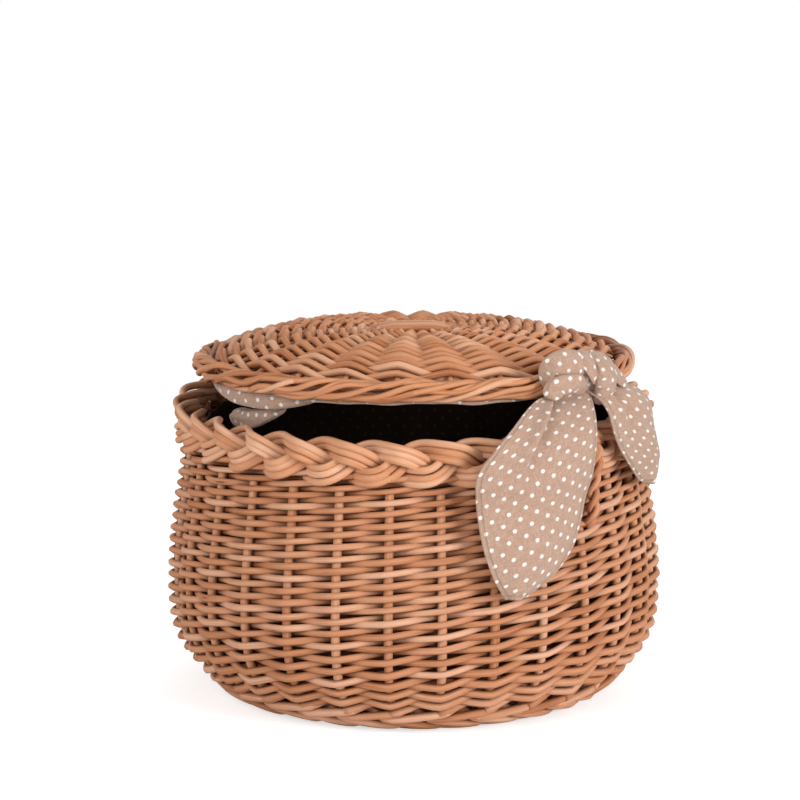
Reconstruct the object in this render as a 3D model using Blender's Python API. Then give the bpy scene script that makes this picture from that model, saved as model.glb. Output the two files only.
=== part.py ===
"""Onion basket of woven willow with a hinged woven lid, a cloth lining and two cloth ties.

Metres, +Z up, resting on z = 0 with the front towards -Y.  Each piece is one closed mesh.  The lid group is
made shut and then turned about the hinge line at the back to the pose it is seen in.
"""
import math

import bpy
import numpy as np

# Wall stakes and the line that they follow, from the floor edge up to the border
STAKE_COUNT = 29
STAKE_FIRST_DEGREES = -5.8
STAKE_SIDES = 4
STAKE_RADIUS = 0.0019
BELLY_RADIUS = 0.1184
WALL_TOP = 0.1241
LINE_RADIUS_SHARES = (0.6926, 0.7475, 0.8007, 0.8446, 0.8927, 0.9307, 0.9671, 0.9890, 1.0, 1.0, 0.9865, 0.9603, 0.9378)
LINE_HEIGHT_SHARES = (0.0, 0.0, 0.0140, 0.0528, 0.0998, 0.1444, 0.2021, 0.2748, 0.3672, 0.4860, 0.6477, 0.8119, 1.0)

# Wall weave
CANE_THICK = 0.0032
CANE_FIT_OUT = 0.0013
CANE_FIT_IN = 0.0012
ROW_PITCH = 0.0086
ROW_FIT = 0.0004
WEAVE_START = 0.0030
WALE_LENGTH = 0.0200
ROW_LEAST = 0.0016
RAND_BAND_SHARES = (0.0, 0.34, 0.67, 1.0)
BAND_END_SHARE = 0.47

# Border plaited from the stake ends
RIM_OVERHANG = 0.00096448
RIM_FIT = 0.0006
PLAIT_RISE = 0.0085
PLAIT_DEPTH = 0.0055
PLAIT_STRAND_RADIUS = 0.0031
PLAIT_STEPS = 3
PLAIT_SIDES = 5
PLAIT_PHASE = -0.15

# Base
BASE_STICKS = 5
BASE_STICK_WIDTH = 0.0044
BASE_STICK_THICK = 0.0036
BASE_CANE_THICK = 0.0022
BASE_ROW = 0.0196
BASE_FIT = 0.00060384
BASE_HOLD = 0.0130
SPOKE_WIDTH_SHARE = 0.72
SPOKE_FIT = 0.0004
SPOKE_BEND_RADIUS = 0.0200
WEAVE_INNER = 0.0215

# Lid, in its shut place
LID_INSET = 0.0075
LID_REST = 0.0042
LID_TURN_DEGREES = 3.0
LID_RISE = 0.0170
LID_ROPE_TWISTS = 11
LID_ROPE_LAY = 0.0035
LID_ROPE_STRAND = 0.0024
LID_ROPE_STEPS = 8
LID_ROPE_SIDES = 4
LID_STICKS = 6
LID_STICK_WIDTH = 0.0040
LID_STICK_THICK = 0.0030
LID_CANE_THICK = 0.0022
LID_ROW = 0.0122
LID_WEAVE_FIT = 0.0041
LID_SPOKE_FIT = 0.0008
LID_HOLD = 0.0130

# Hinge: the line that the lid turns about, and the two split cane rings
HINGE_SET = 0.0085
HINGE_DROP = 0.0016
LID_OPEN_DEGREES = 2.93
RING_BAY = 1.0
RING_RADIUS = 0.0119
RING_THICK = 0.0012
RING_WIDTH = 0.0023
RING_FIT = 0.0003
RING_TOP_SHARES = (0.70, 0.86)
RING_HUG_SHARES = (1.08, 1.02)
RING_TURN_SHARES = (1.0, 1.1)
RING_FOOT_SHARES = (0.25, 2.15)

# Cloth lining of the body and of the lid
CLOTH = 0.0012
LINER_FIT = 0.0010
LINER_TOP_SHARE = 0.965
LINER_SIDES = 18
LINING_FIT = 0.0006
LINING_SIDES = 24

# Cloth ties on the lid border
TIE_DEGREES = 46.0
TIE_HOLE_FIT = 0.0006
KNOT_DEPTH = 0.0150
KNOT_HALF_WIDTH = 0.0200
KNOT_LIFT_DEGREES = 35.0
BAND_THICK = 0.0024
BAND_HALF_WIDTH = 0.0058
TAIL_THICK = 0.0020
TAIL_STAND = 0.0102
TAIL_FOLD = 0.0016
FRONT_TAIL_FOLDS = 2.0
FRONT_TAIL_SPREAD = 0.0030
SIDE_TAIL_FOLDS = 1.5
SIDE_TAIL_SPREAD = 0.0
KNOT_FOLD_SHARE = 0.10
FLARE_START_SHARE = 0.90
FLARE_SHARE = 0.12
TAIL_HEAD_SET = 0.0145
TAIL_HEAD_SHARE = 0.22
TAIL_ROWS = 13
TAIL_COLUMNS = 8
FRONT_TAIL_LIFT = 0.0016
FRONT_TAIL_TIP = 0.0741
FRONT_TAIL_LEFT_DEGREES = (36.5, 26.0, 18.0, 13.7, 12.7, 13.4, 14.2, 15.4, 18.0, 20.4)
FRONT_TAIL_RIGHT_DEGREES = (44.5, 43.0, 42.0, 42.0, 42.0, 41.2, 38.8, 35.6, 29.2, 21.2)
FRONT_TAIL_HEIGHT_SHARES = (1.0, 0.95, 0.82, 0.69, 0.615, 0.50, 0.36, 0.233, 0.106, 0.0)
SIDE_TAIL_LIFT = 0.0018
SIDE_TAIL_TIP = 0.1137
SIDE_TAIL_LEFT_DEGREES = (46.5, 48.2, 49.4, 51.0, 54.0, 59.1, 67.2, 71.0)
SIDE_TAIL_RIGHT_DEGREES = (54.0, 61.0, 65.0, 66.8, 70.0, 75.0, 76.3, 74.0)
SIDE_TAIL_HEIGHT_SHARES = (1.0, 0.93, 0.73, 0.555, 0.40, 0.244, 0.089, 0.0)
SIDE_TAIL_STAND = 0.0060
ROLL_RADIUS = 0.0052
ROLL_INSET = 0.0097
ROLL_DROP = 0.0065
ROLL_START_DEGREES = -62.0
ROLL_END_DEGREES = -26.0
ROLL_STEPS = 12
ROLL_SIDES = 8
LUMP_DEGREES = -48.0
LUMP_LENGTH = 0.0120
LUMP_DEPTH = 0.0062
LUMP_HEIGHT = 0.0068
LUMP_FIT = 0.0001

# Twisted loop on the wall under the right tie
LOOP_ROPE_RADIUS = 0.0028
LOOP_FIT = 0.0005
LOOP_BULGE = 0.0008
LOOP_RIGHT_DEGREES = 44.2
LOOP_LEFT_DEGREES = 33.0
LOOP_LOW = 0.1030
LOOP_HIGH = 0.1210
LOOP_ARCH_SHARE = 0.9

WILLOW = (0.62, 0.36, 0.20)
WILLOW_DARK = (0.50, 0.27, 0.14)
WILLOW_PALE = (0.72, 0.46, 0.28)
COTTON = (0.56, 0.43, 0.33)


def material(name, colour, roughness):
    """A plain Principled material."""
    made = bpy.data.materials.new(name)
    made.use_nodes = True
    shader = made.node_tree.nodes["Principled BSDF"]
    shader.inputs["Base Color"].default_value = (*colour, 1.0)
    shader.inputs["Roughness"].default_value = roughness
    made.diffuse_color = (*colour, 1.0)
    return made


def add_piece(name, points, faces, colour, roughness=0.7):
    """Make the named mesh object, with its faces turned outward."""
    points = np.asarray(points, dtype=float)
    volume = 0.0
    for face in faces:
        for k in range(1, len(face) - 1):
            volume += np.dot(points[face[0]], np.cross(points[face[k]], points[face[k + 1]]))
    if volume < 0:
        faces = [tuple(reversed(face)) for face in faces]
    mesh = bpy.data.meshes.new(name)
    mesh.from_pydata([tuple(p) for p in points], [], faces)
    mesh.validate()
    mesh.update()
    mesh.materials.append(material(name + "_material", colour, roughness))
    made = bpy.data.objects.new(name, mesh)
    bpy.context.scene.collection.objects.link(made)
    return made


def skin(rings, closed):
    """Points and faces of a tube through rings of equal length, with fan ends unless it closes on itself."""
    rings = np.asarray(rings, dtype=float)
    count, sides = rings.shape[:2]
    faces = []
    for i in range(count if closed else count - 1):
        here = i * sides
        after = ((i + 1) % count) * sides
        for j in range(sides):
            k = (j + 1) % sides
            faces.append((here + j, here + k, after + k))
            faces.append((here + j, after + k, after + j))
    if not closed:
        last = (count - 1) * sides
        for k in range(1, sides - 1):
            faces.append((0, k + 1, k))
            faces.append((last, last + k, last + k + 1))
    return rings.reshape(-1, 3), faces


def slab(points, faces, normals, thick):
    """Points and faces of a sheet given as one surface, thickened evenly to both sides."""
    count = len(points)
    both = np.vstack([points + normals * thick / 2, points - normals * thick / 2])
    cut = [(f[0], f[k], f[k + 1]) for f in faces for k in range(1, len(f) - 1)]
    edges = {(f[k], f[(k + 1) % 3]) for f in cut for k in range(3)}
    out = list(cut)
    out += [(f[2] + count, f[1] + count, f[0] + count) for f in cut]
    for a, b in edges:
        if (b, a) not in edges:
            out.append((b, a, a + count))
            out.append((b, a + count, b + count))
    return both, out


def unit(vectors):
    """Vectors of length one."""
    return vectors / np.linalg.norm(vectors, axis=-1, keepdims=True)


def round_rings(path, radius, sides, up, closed, start=0.0):
    """Rings of a round tube along a path; radius may be one value or one for each point."""
    path = np.asarray(path, dtype=float)
    if closed:
        along = unit(np.roll(path, -1, 0) - np.roll(path, 1, 0))
    else:
        along = unit(np.gradient(path, axis=0))
    across = unit(np.cross(along, up))
    over = np.cross(across, along)
    angles = start + np.arange(sides) * 2 * math.pi / sides
    radius = np.broadcast_to(np.asarray(radius, dtype=float), (len(path),))[:, None, None]
    ring = across[:, None] * np.cos(angles)[:, None] + over[:, None] * np.sin(angles)[:, None]
    return path[:, None] + radius * ring


def spot(degrees, radius, height):
    """Point at an azimuth from the front, turning towards +X."""
    turn = np.radians(degrees)
    return np.stack(np.broadcast_arrays(radius * np.sin(turn), -radius * np.cos(turn), height), -1)


# Places that follow from the sizes above
BASE_RADIUS = LINE_RADIUS_SHARES[0] * BELLY_RADIUS - BASE_FIT
RIM_RADIUS = LINE_RADIUS_SHARES[-1] * BELLY_RADIUS + RIM_OVERHANG
LID_RADIUS = RIM_RADIUS - LID_INSET
PLAIT_MIDDLE_HEIGHT = WALL_TOP + RIM_FIT + PLAIT_RISE + PLAIT_STRAND_RADIUS
LID_MIDDLE_HEIGHT = (
    PLAIT_MIDDLE_HEIGHT + PLAIT_RISE + PLAIT_STRAND_RADIUS + LID_REST + LID_ROPE_LAY + LID_ROPE_STRAND)
LID_WEAVE_RADIUS = LID_RADIUS - LID_ROPE_LAY - LID_ROPE_STRAND - LID_WEAVE_FIT
LID_SPOKE_RADIUS = LID_RADIUS - LID_ROPE_LAY - LID_ROPE_STRAND - LID_SPOKE_FIT
HINGE_BACK = LID_RADIUS + HINGE_SET
HINGE_HEIGHT = LID_MIDDLE_HEIGHT - LID_ROPE_LAY - LID_ROPE_STRAND - HINGE_DROP
FRONT_TAIL_TOP = LID_MIDDLE_HEIGHT + FRONT_TAIL_LIFT
SIDE_TAIL_TOP = LID_MIDDLE_HEIGHT + SIDE_TAIL_LIFT
ROLL_HEIGHT = LID_MIDDLE_HEIGHT - ROLL_DROP
TAIL_HEAD_RADIUS = LID_RADIUS + TAIL_HEAD_SET
ROLL_CENTRE_RADIUS = LID_RADIUS - ROLL_INSET

# The wall line
CANE_OUT = STAKE_RADIUS + CANE_FIT_OUT + CANE_THICK / 2
CANE_IN = STAKE_RADIUS + CANE_FIT_IN + CANE_THICK / 2
FLOOR_LIFT = CANE_OUT + CANE_THICK / 2
LINE_R = np.array(LINE_RADIUS_SHARES) * BELLY_RADIUS
LINE_Z = FLOOR_LIFT + np.array(LINE_HEIGHT_SHARES) * (WALL_TOP - FLOOR_LIFT)
LINE_S = np.concatenate([[0.0], np.cumsum(np.hypot(np.diff(LINE_R), np.diff(LINE_Z)))])
LINE_SLOPE = unit(np.stack([np.gradient(LINE_R), np.gradient(LINE_Z)], -1))


def on_line(length, outward=0.0):
    """Radius and height at a length along the wall line, moved outward square to it."""
    slope_r = np.interp(length, LINE_S, LINE_SLOPE[:, 0])
    slope_z = np.interp(length, LINE_S, LINE_SLOPE[:, 1])
    size = np.hypot(slope_r, slope_z)
    radius = np.interp(length, LINE_S, LINE_R) + outward * slope_z / size
    height = np.interp(length, LINE_S, LINE_Z) - outward * slope_r / size
    return radius, height


def outside_radius(height, stand=0.0):
    """Radius of the outer face of the wall or border at a height, with a stand-off."""
    radii, heights = on_line(LINE_S, CANE_OUT + CANE_THICK / 2)
    wall = np.interp(height, heights, radii)
    border = RIM_RADIUS + PLAIT_DEPTH + PLAIT_STRAND_RADIUS
    part = np.clip((height - FLARE_START_SHARE * WALL_TOP) / (FLARE_SHARE * WALL_TOP), 0.0, 1.0)
    part = part * part * (3 - 2 * part)
    return wall + (border - wall) * part + stand


BAY = 360.0 / STAKE_COUNT


def at_stake(number):
    """Azimuth of a stake, or of a place between stakes when the number is not whole."""
    return STAKE_FIRST_DEGREES + number * BAY


def make_stakes():
    """The upright stakes, each one rod bent from the floor edge up to the border."""
    for k in range(STAKE_COUNT):
        path = spot(at_stake(k), LINE_R, LINE_Z)
        side = spot(at_stake(k) + 90.0, 1.0, 0.0)
        rings = round_rings(path, STAKE_RADIUS, STAKE_SIDES, side, False)
        points, faces = skin(rings, False)
        add_piece(f"stake_{k + 1:02d}", points, faces, WILLOW_DARK)


def wall_row_rings(first, last):
    """Rectangular sections of the spiral cane at whole stakes first to last, outside and inside by turns."""
    steps = np.arange(first, last + 1)
    low = WEAVE_START + ROW_PITCH * (steps / STAKE_COUNT - 1.0)
    high = np.minimum(low + ROW_PITCH - ROW_FIT, LINE_S[-1])
    low = np.maximum(low, WEAVE_START)
    outer = np.where(steps % 2 == 0, CANE_OUT, -CANE_IN)
    corners = []
    for length, face in ((low, 1), (high, 1), (high, -1), (low, -1)):
        radius, height = on_line(length, outer + face * CANE_THICK / 2)
        corners.append(spot(at_stake(steps), radius, height))
    return np.stack(corners, 1)


def make_wall_band(name, first, last, colour):
    """One length of the spiral weave, from just after one stake to just before another."""
    rings = wall_row_rings(first, last)
    start = rings[0] + (rings[1] - rings[0]) * (1 - BAND_END_SHARE)
    end = rings[-2] + (rings[-1] - rings[-2]) * BAND_END_SHARE
    points, faces = skin(np.concatenate([[start], rings[1:-1], [end]]), False)
    add_piece(name, points, faces, colour)


def make_wall():
    """Waling at the foot, then three bands of rand weave up to the border."""
    least = math.ceil(STAKE_COUNT * (ROW_LEAST + ROW_FIT) / ROW_PITCH)
    turns = (LINE_S[-1] - WEAVE_START) / ROW_PITCH
    top = math.floor(STAKE_COUNT * (turns + 1.0 - (ROW_LEAST + ROW_FIT) / ROW_PITCH))
    wale_end = round(STAKE_COUNT * WALE_LENGTH / ROW_PITCH)
    make_wall_band("wale_weave", least, wale_end, WILLOW_DARK)
    cuts = [round(wale_end - 1 + share * (top - wale_end + 1)) for share in RAND_BAND_SHARES]
    names = ("rand_weave_low", "rand_weave_middle", "rand_weave_high")
    for k, name in enumerate(names):
        make_wall_band(name, cuts[k], cuts[k + 1] + 1, WILLOW if k % 2 else WILLOW_PALE)


def make_rim():
    """Three-strand plait: height goes as the sine and depth as minus the double sine of the phase.

    Each strand comes over the top outermost, dives to the right and is tucked in behind the next one.
    """
    steps = np.arange(3 * STAKE_COUNT * PLAIT_STEPS) / PLAIT_STEPS
    phase = 2 * math.pi * (steps + PLAIT_PHASE) / 3
    depth = PLAIT_DEPTH * np.sin(2 * phase)
    path = spot(at_stake(steps), RIM_RADIUS - depth, PLAIT_MIDDLE_HEIGHT + PLAIT_RISE * np.sin(phase))
    rings = round_rings(path, PLAIT_STRAND_RADIUS, PLAIT_SIDES, spot(at_stake(steps), 1.0, 0.0), True)
    points, faces = skin(rings, True)
    add_piece("rim_border", points, faces, WILLOW)


def stick_bundle(count, width, thick, hold, radii, heights, lift, turn):
    """Sticks side by side through the middle that spread into spokes at both ends, as one comb of strips."""
    half = count * width / 2
    edges = np.linspace(-half, half, count + 1)
    middle = [(edge, hold * end) for end in (-1, 1) for edge in edges]
    points = [np.array([x, y, lift]) for x, y in middle]
    faces = []
    for k in range(count):
        faces.append((k, k + 1, count + 2 + k, count + 1 + k))
    fan = 180.0 / (2 * count)
    for end in (0, 1):
        sign = 1 if end else -1
        for k in range(count):
            degrees = (k - (count - 1) / 2) * fan
            left, right = end * (count + 1) + k, end * (count + 1) + k + 1
            for radius, height in zip(radii, heights):
                away = math.radians(degrees)
                forward = np.array([math.sin(away), math.cos(away)]) * radius
                across = np.array([math.cos(away), -math.sin(away)]) * width * SPOKE_WIDTH_SHARE / 2
                points.append(np.array([forward[0] - across[0], sign * (forward[1] - across[1]), height]))
                points.append(np.array([forward[0] + across[0], sign * (forward[1] + across[1]), height]))
                face = (left, right, len(points) - 1, len(points) - 2)
                faces.append(face if end else face[::-1])
                left, right = len(points) - 2, len(points) - 1
    points = np.array(points)
    spin = math.radians(turn)
    x = points[:, 0] * math.cos(spin) - points[:, 1] * math.sin(spin)
    y = points[:, 0] * math.sin(spin) + points[:, 1] * math.cos(spin)
    points = np.stack([x, y, points[:, 2]], -1)
    up = np.zeros_like(points)
    up[:, 2] = 1.0
    both, out = slab(points, faces, up, thick)
    return both, out


def weaver(spokes, stick_width, reach, cane, row, inner, outer, surface, second, turn):
    """One of two chasing canes: over one spoke and under the next, spiralling outward two rows a turn.

    Two sections to a spoke keep the cane flat over the stick and steep between the sticks.
    """
    rings = []
    step = 360.0 / spokes
    first = turn + ((spokes / 4 - 1) / 2 % 1.0) * step
    total = math.ceil(spokes * ((outer - inner) / (2 * row) + 1.0))
    for k in range(total):
        low = inner + row * (2.0 * k / spokes - (1.0 if second else 2.0))
        high = min(low + row - SPOKE_FIT, outer)
        low = max(low, inner)
        if high - low < ROW_LEAST:
            continue
        side = 1.0 if (k + (1 if second else 0)) % 2 else -1.0
        middle = (low + high) / 2
        flat = math.degrees((stick_width / 2 + SPOKE_FIT) / middle)
        for shift in (-flat, flat):
            corners = []
            for radius, face in ((low, 1), (high, 1), (high, -1), (low, -1)):
                height = surface(radius) + side * reach + face * cane / 2
                corners.append(spot(first + k * step + shift, radius, height))
            rings.append(corners)
    return skin(np.array(rings), False)


def make_base():
    """Slath of two crossing stick bundles and the two canes woven round their spokes."""
    reach = BASE_STICK_THICK / 2 + SPOKE_FIT + BASE_CANE_THICK / 2
    middle = reach + BASE_CANE_THICK / 2
    radii = (SPOKE_BEND_RADIUS, BASE_RADIUS)
    level = (middle, middle)
    low = BASE_STICK_THICK / 2
    high = low + BASE_STICK_THICK + SPOKE_FIT
    for name, lift, turn in (("base_sticks_lower", low, 0.0), ("base_sticks_upper", high, 90.0)):
        points, faces = stick_bundle(
            BASE_STICKS, BASE_STICK_WIDTH, BASE_STICK_THICK, BASE_HOLD, radii, level, lift, turn)
        add_piece(name, points, faces, WILLOW_DARK)
    for name, second in (("base_weaver_first", False), ("base_weaver_second", True)):
        points, faces = weaver(
            4 * BASE_STICKS, BASE_STICK_WIDTH * SPOKE_WIDTH_SHARE, reach, BASE_CANE_THICK, BASE_ROW,
            WEAVE_INNER, BASE_RADIUS - SPOKE_FIT, lambda radius: middle, second, 0.0)
        add_piece(name, points, faces, WILLOW)
    return 2 * middle


def lid_surface(radius):
    """Height of the middle of the lid weave above the floor when shut: a shallow dome in straight pieces."""
    knots = np.array([0.0, 0.2, 0.45, 0.7, 1.0])
    return LID_MIDDLE_HEIGHT + LID_RISE * np.interp(radius / LID_RADIUS, knots, 1 - knots**2)


def turn_lid(points):
    """Turn points of the lid group about the hinge line to the pose that it is seen in."""
    turn = math.radians(LID_OPEN_DEGREES)
    y = points[..., 1] - HINGE_BACK
    z = points[..., 2] - HINGE_HEIGHT
    return np.stack([
        points[..., 0],
        HINGE_BACK + y * math.cos(turn) + z * math.sin(turn),
        HINGE_HEIGHT - y * math.sin(turn) + z * math.cos(turn)], -1)


def add_lid_piece(name, points, faces, colour, roughness=0.7):
    """A piece of the lid group, with its origin on the hinge line."""
    made = add_piece(name, turn_lid(np.asarray(points)), faces, colour, roughness)
    shift = np.array([0.0, HINGE_BACK, HINGE_HEIGHT])
    for vertex in made.data.vertices:
        vertex.co = np.array(vertex.co) - shift
    made.location = shift
    return made


def make_lid():
    """Lid sticks, woven top, rope border and cloth lining."""
    reach = LID_STICK_THICK / 2 + SPOKE_FIT + LID_CANE_THICK / 2
    radii = np.array([SPOKE_BEND_RADIUS, 0.45 * LID_RADIUS, 0.7 * LID_RADIUS, LID_SPOKE_RADIUS])
    heights = lid_surface(radii)
    centre = float(lid_surface(0.0))
    lift = (LID_STICK_THICK + SPOKE_FIT) / 2
    for name, height, turn in (
            ("lid_sticks_upper", centre + lift, LID_TURN_DEGREES),
            ("lid_sticks_lower", centre - lift, 90.0 + LID_TURN_DEGREES)):
        points, faces = stick_bundle(
            LID_STICKS, LID_STICK_WIDTH, LID_STICK_THICK, LID_HOLD, radii, heights, height, turn)
        add_lid_piece(name, points, faces, WILLOW_PALE)
    for name, second in (("lid_weaver_first", False), ("lid_weaver_second", True)):
        points, faces = weaver(
            4 * LID_STICKS, LID_STICK_WIDTH * SPOKE_WIDTH_SHARE, reach, LID_CANE_THICK, LID_ROW,
            WEAVE_INNER, LID_WEAVE_RADIUS, lid_surface, second, LID_TURN_DEGREES)
        add_lid_piece(name, points, faces, WILLOW)
    twists = LID_ROPE_TWISTS + 1 / 3
    count = round(3 * twists * LID_ROPE_STEPS)
    steps = np.arange(count) * 3.0 / count
    phase = 2 * math.pi * steps * twists
    path = spot(steps * 360.0, LID_RADIUS + LID_ROPE_LAY * np.cos(phase),
                LID_MIDDLE_HEIGHT + LID_ROPE_LAY * np.sin(phase))
    rings = round_rings(path, LID_ROPE_STRAND, LID_ROPE_SIDES, spot(steps * 360.0, 1.0, 0.0), True)
    points, faces = skin(rings, True)
    add_lid_piece("lid_border", points, faces, WILLOW)
    drop = reach + LID_CANE_THICK / 2 + LINING_FIT + CLOTH / 2
    radii = np.array([0.2, 0.45, 0.7]) * LID_RADIUS
    radii = np.append(radii, LID_WEAVE_RADIUS)
    centre_drop = max(drop, lift + LID_STICK_THICK / 2 + LINING_FIT + CLOTH / 2)
    points, faces, normals = disc(radii, lid_surface(radii) - drop, centre - centre_drop, LINING_SIDES)
    points, faces = slab(points, faces, normals, CLOTH)
    add_lid_piece("lid_lining", points, faces, COTTON, 0.9)


def disc(radii, heights, centre_height, sides):
    """A surface of revolution from the middle outward, as points, faces and normals."""
    turns = np.arange(sides) * 360.0 / sides
    points = [np.array([[0.0, 0.0, centre_height]])]
    slope_r = np.gradient(np.append(0.0, radii))[1:]
    slope_z = np.gradient(np.append(centre_height, heights))[1:]
    size = np.hypot(slope_r, slope_z)
    normals = [np.array([[0.0, 0.0, 1.0]])]
    for radius, height, along_r, along_z in zip(radii, heights, slope_r / size, slope_z / size):
        points.append(spot(turns, radius, height))
        normals.append(spot(turns, -along_z, along_r))
    faces = [(0, 1 + k, 1 + (k + 1) % sides) for k in range(sides)]
    for ring in range(len(radii) - 1):
        here = 1 + ring * sides
        after = here + sides
        for k in range(sides):
            j = (k + 1) % sides
            faces.append((here + k, after + k, after + j, here + j))
    return np.vstack(points), faces, np.vstack(normals)


def make_liner(floor_top):
    """Cloth bag inside the body, from the floor up to a hem below the border."""
    lengths = np.array([LINE_S[k] for k in (2, 4, 5, 6, 7, 8, 9, 10, 11)])
    lengths = np.append(lengths, LINE_S[-1] * LINER_TOP_SHARE)
    inward = CANE_IN + CANE_THICK / 2 + LINER_FIT + CLOTH / 2
    radii, heights = on_line(lengths, -inward)
    heights = np.maximum(heights, floor_top + LINER_FIT + CLOTH / 2)
    radii = np.append(radii[0] * 0.5, radii)
    heights = np.append(heights[0], heights)
    points, faces, normals = disc(radii, heights, heights[0], LINER_SIDES)
    points, faces = slab(points, faces, normals, CLOTH)
    add_piece("basket_liner", points, faces, COTTON, 0.9)


def make_hinge_rings():
    """Split cane rings that hold the lid border and the top strand of the rim.

    The lower and back part is an arc about the hinge line, so that it slides through the plait as the lid turns.
    """
    for name, sign in (("hinge_ring_left", -1), ("hinge_ring_right", 1)):
        x = sign * RIM_RADIUS * math.sin(math.radians(RING_BAY * BAY))
        arc = np.radians(np.arange(-105.0, 26.0, 18.5))
        under = np.stack([RING_RADIUS * np.cos(arc), RING_RADIUS * np.sin(arc)], -1)
        border = LID_ROPE_LAY + LID_ROPE_STRAND + RING_FIT + RING_THICK / 2
        back = math.sqrt(LID_RADIUS**2 - x**2) - HINGE_BACK
        rise = LID_MIDDLE_HEIGHT - HINGE_HEIGHT
        over = [(RING_TOP_SHARES[0] * RING_RADIUS, RING_TOP_SHARES[1] * RING_RADIUS)]
        over += [(back + RING_HUG_SHARES[0] * border * math.cos(a), rise + RING_HUG_SHARES[1] * border * math.sin(a))
                 for a in np.radians((65.0, 95.0, 125.0, 155.0, 185.0))]
        over += [(back - RING_TURN_SHARES[0] * border, rise - RING_TURN_SHARES[1] * border)]
        over += [(back - RING_FOOT_SHARES[0] * border, rise - RING_FOOT_SHARES[1] * border)]
        flat = np.vstack([under, over])
        along = unit(np.roll(flat, -1, 0) - np.roll(flat, 1, 0))
        square = np.stack([along[:, 1], -along[:, 0]], -1)
        corners = []
        for a, b in ((1, 1), (1, -1), (-1, -1), (-1, 1)):
            place = flat + square * a * RING_THICK / 2
            across = np.full(len(flat), x + b * RING_WIDTH / 2)
            corners.append(np.stack([across, HINGE_BACK + place[:, 0], HINGE_HEIGHT + place[:, 1]], -1))
        points, faces = skin(np.stack(corners, 1), True)
        add_lid_piece(name, points, faces, WILLOW_PALE)


def border_wrap(degrees, depth, half_width, thin, thin_half_width, lift, fold):
    """Cloth passed round the lid border and gathered on its outer side, as points and faces."""
    hole = LID_ROPE_LAY + LID_ROPE_STRAND + TIE_HOLE_FIT
    around = np.arange(16) * 2 * math.pi / 16
    section = np.arange(12) * 2 * math.pi / 12
    swell = ((1 + np.cos(around - math.radians(lift))) / 2)
    thick = thin + (depth - thin) * swell**1.5
    half = thin_half_width + (half_width - thin_half_width) * swell**1.2
    far = hole + thick / 2
    rings = []
    for k, turn in enumerate(around):
        ripple = 1 + fold * np.cos(4 * section + 2 * turn) * swell[k]
        out = np.where(np.cos(section) > 0, ripple, 1.0) * np.cos(section) * thick[k] / 2
        along = np.sin(section) * half[k] * ripple
        distance = far[k] + out
        radius = LID_RADIUS + distance * math.cos(turn)
        height = LID_MIDDLE_HEIGHT + distance * math.sin(turn)
        rings.append(spot(degrees + np.degrees(along / LID_RADIUS), radius, height))
    return skin(np.array(rings), True)


def tail(left, right, shares, top, tip, stand, spread, folds):
    """A hanging cloth tail outside the wall: its edges by azimuth and height, with upright folds."""
    rows = np.linspace(0.0, 1.0, TAIL_ROWS)
    shares = np.array(shares)
    order = np.linspace(0.0, 1.0, len(shares))
    height = tip + (top - tip) * np.interp(rows, order, shares)
    from_left = np.interp(rows, order, np.array(left))
    from_right = np.interp(rows, order, np.array(right))
    columns = np.linspace(0.0, 1.0, TAIL_COLUMNS)
    degrees = from_left[:, None] + (from_right - from_left)[:, None] * columns
    fade = np.sin(math.pi * np.clip(rows * 0.9 + 0.1, 0.0, 1.0))[:, None]
    wave = TAIL_FOLD * fade * np.cos(2 * math.pi * folds * columns + 0.6)
    drop = np.clip(rows / TAIL_HEAD_SHARE, 0.0, 1.0)[:, None]
    radius = outside_radius(height)[:, None] + stand + spread * columns
    radius = TAIL_HEAD_RADIUS + (radius - TAIL_HEAD_RADIUS) * drop + wave * drop
    points = spot(degrees, radius, np.broadcast_to(height[:, None], degrees.shape)).reshape(-1, 3)
    faces = []
    for i in range(TAIL_ROWS - 1):
        for j in range(TAIL_COLUMNS - 1):
            k = i * TAIL_COLUMNS + j
            faces.append((k, k + 1, k + TAIL_COLUMNS + 1, k + TAIL_COLUMNS))
    normals = spot(degrees, 1.0, 0.0).reshape(-1, 3)
    return slab(points, faces, normals, TAIL_THICK)


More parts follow.
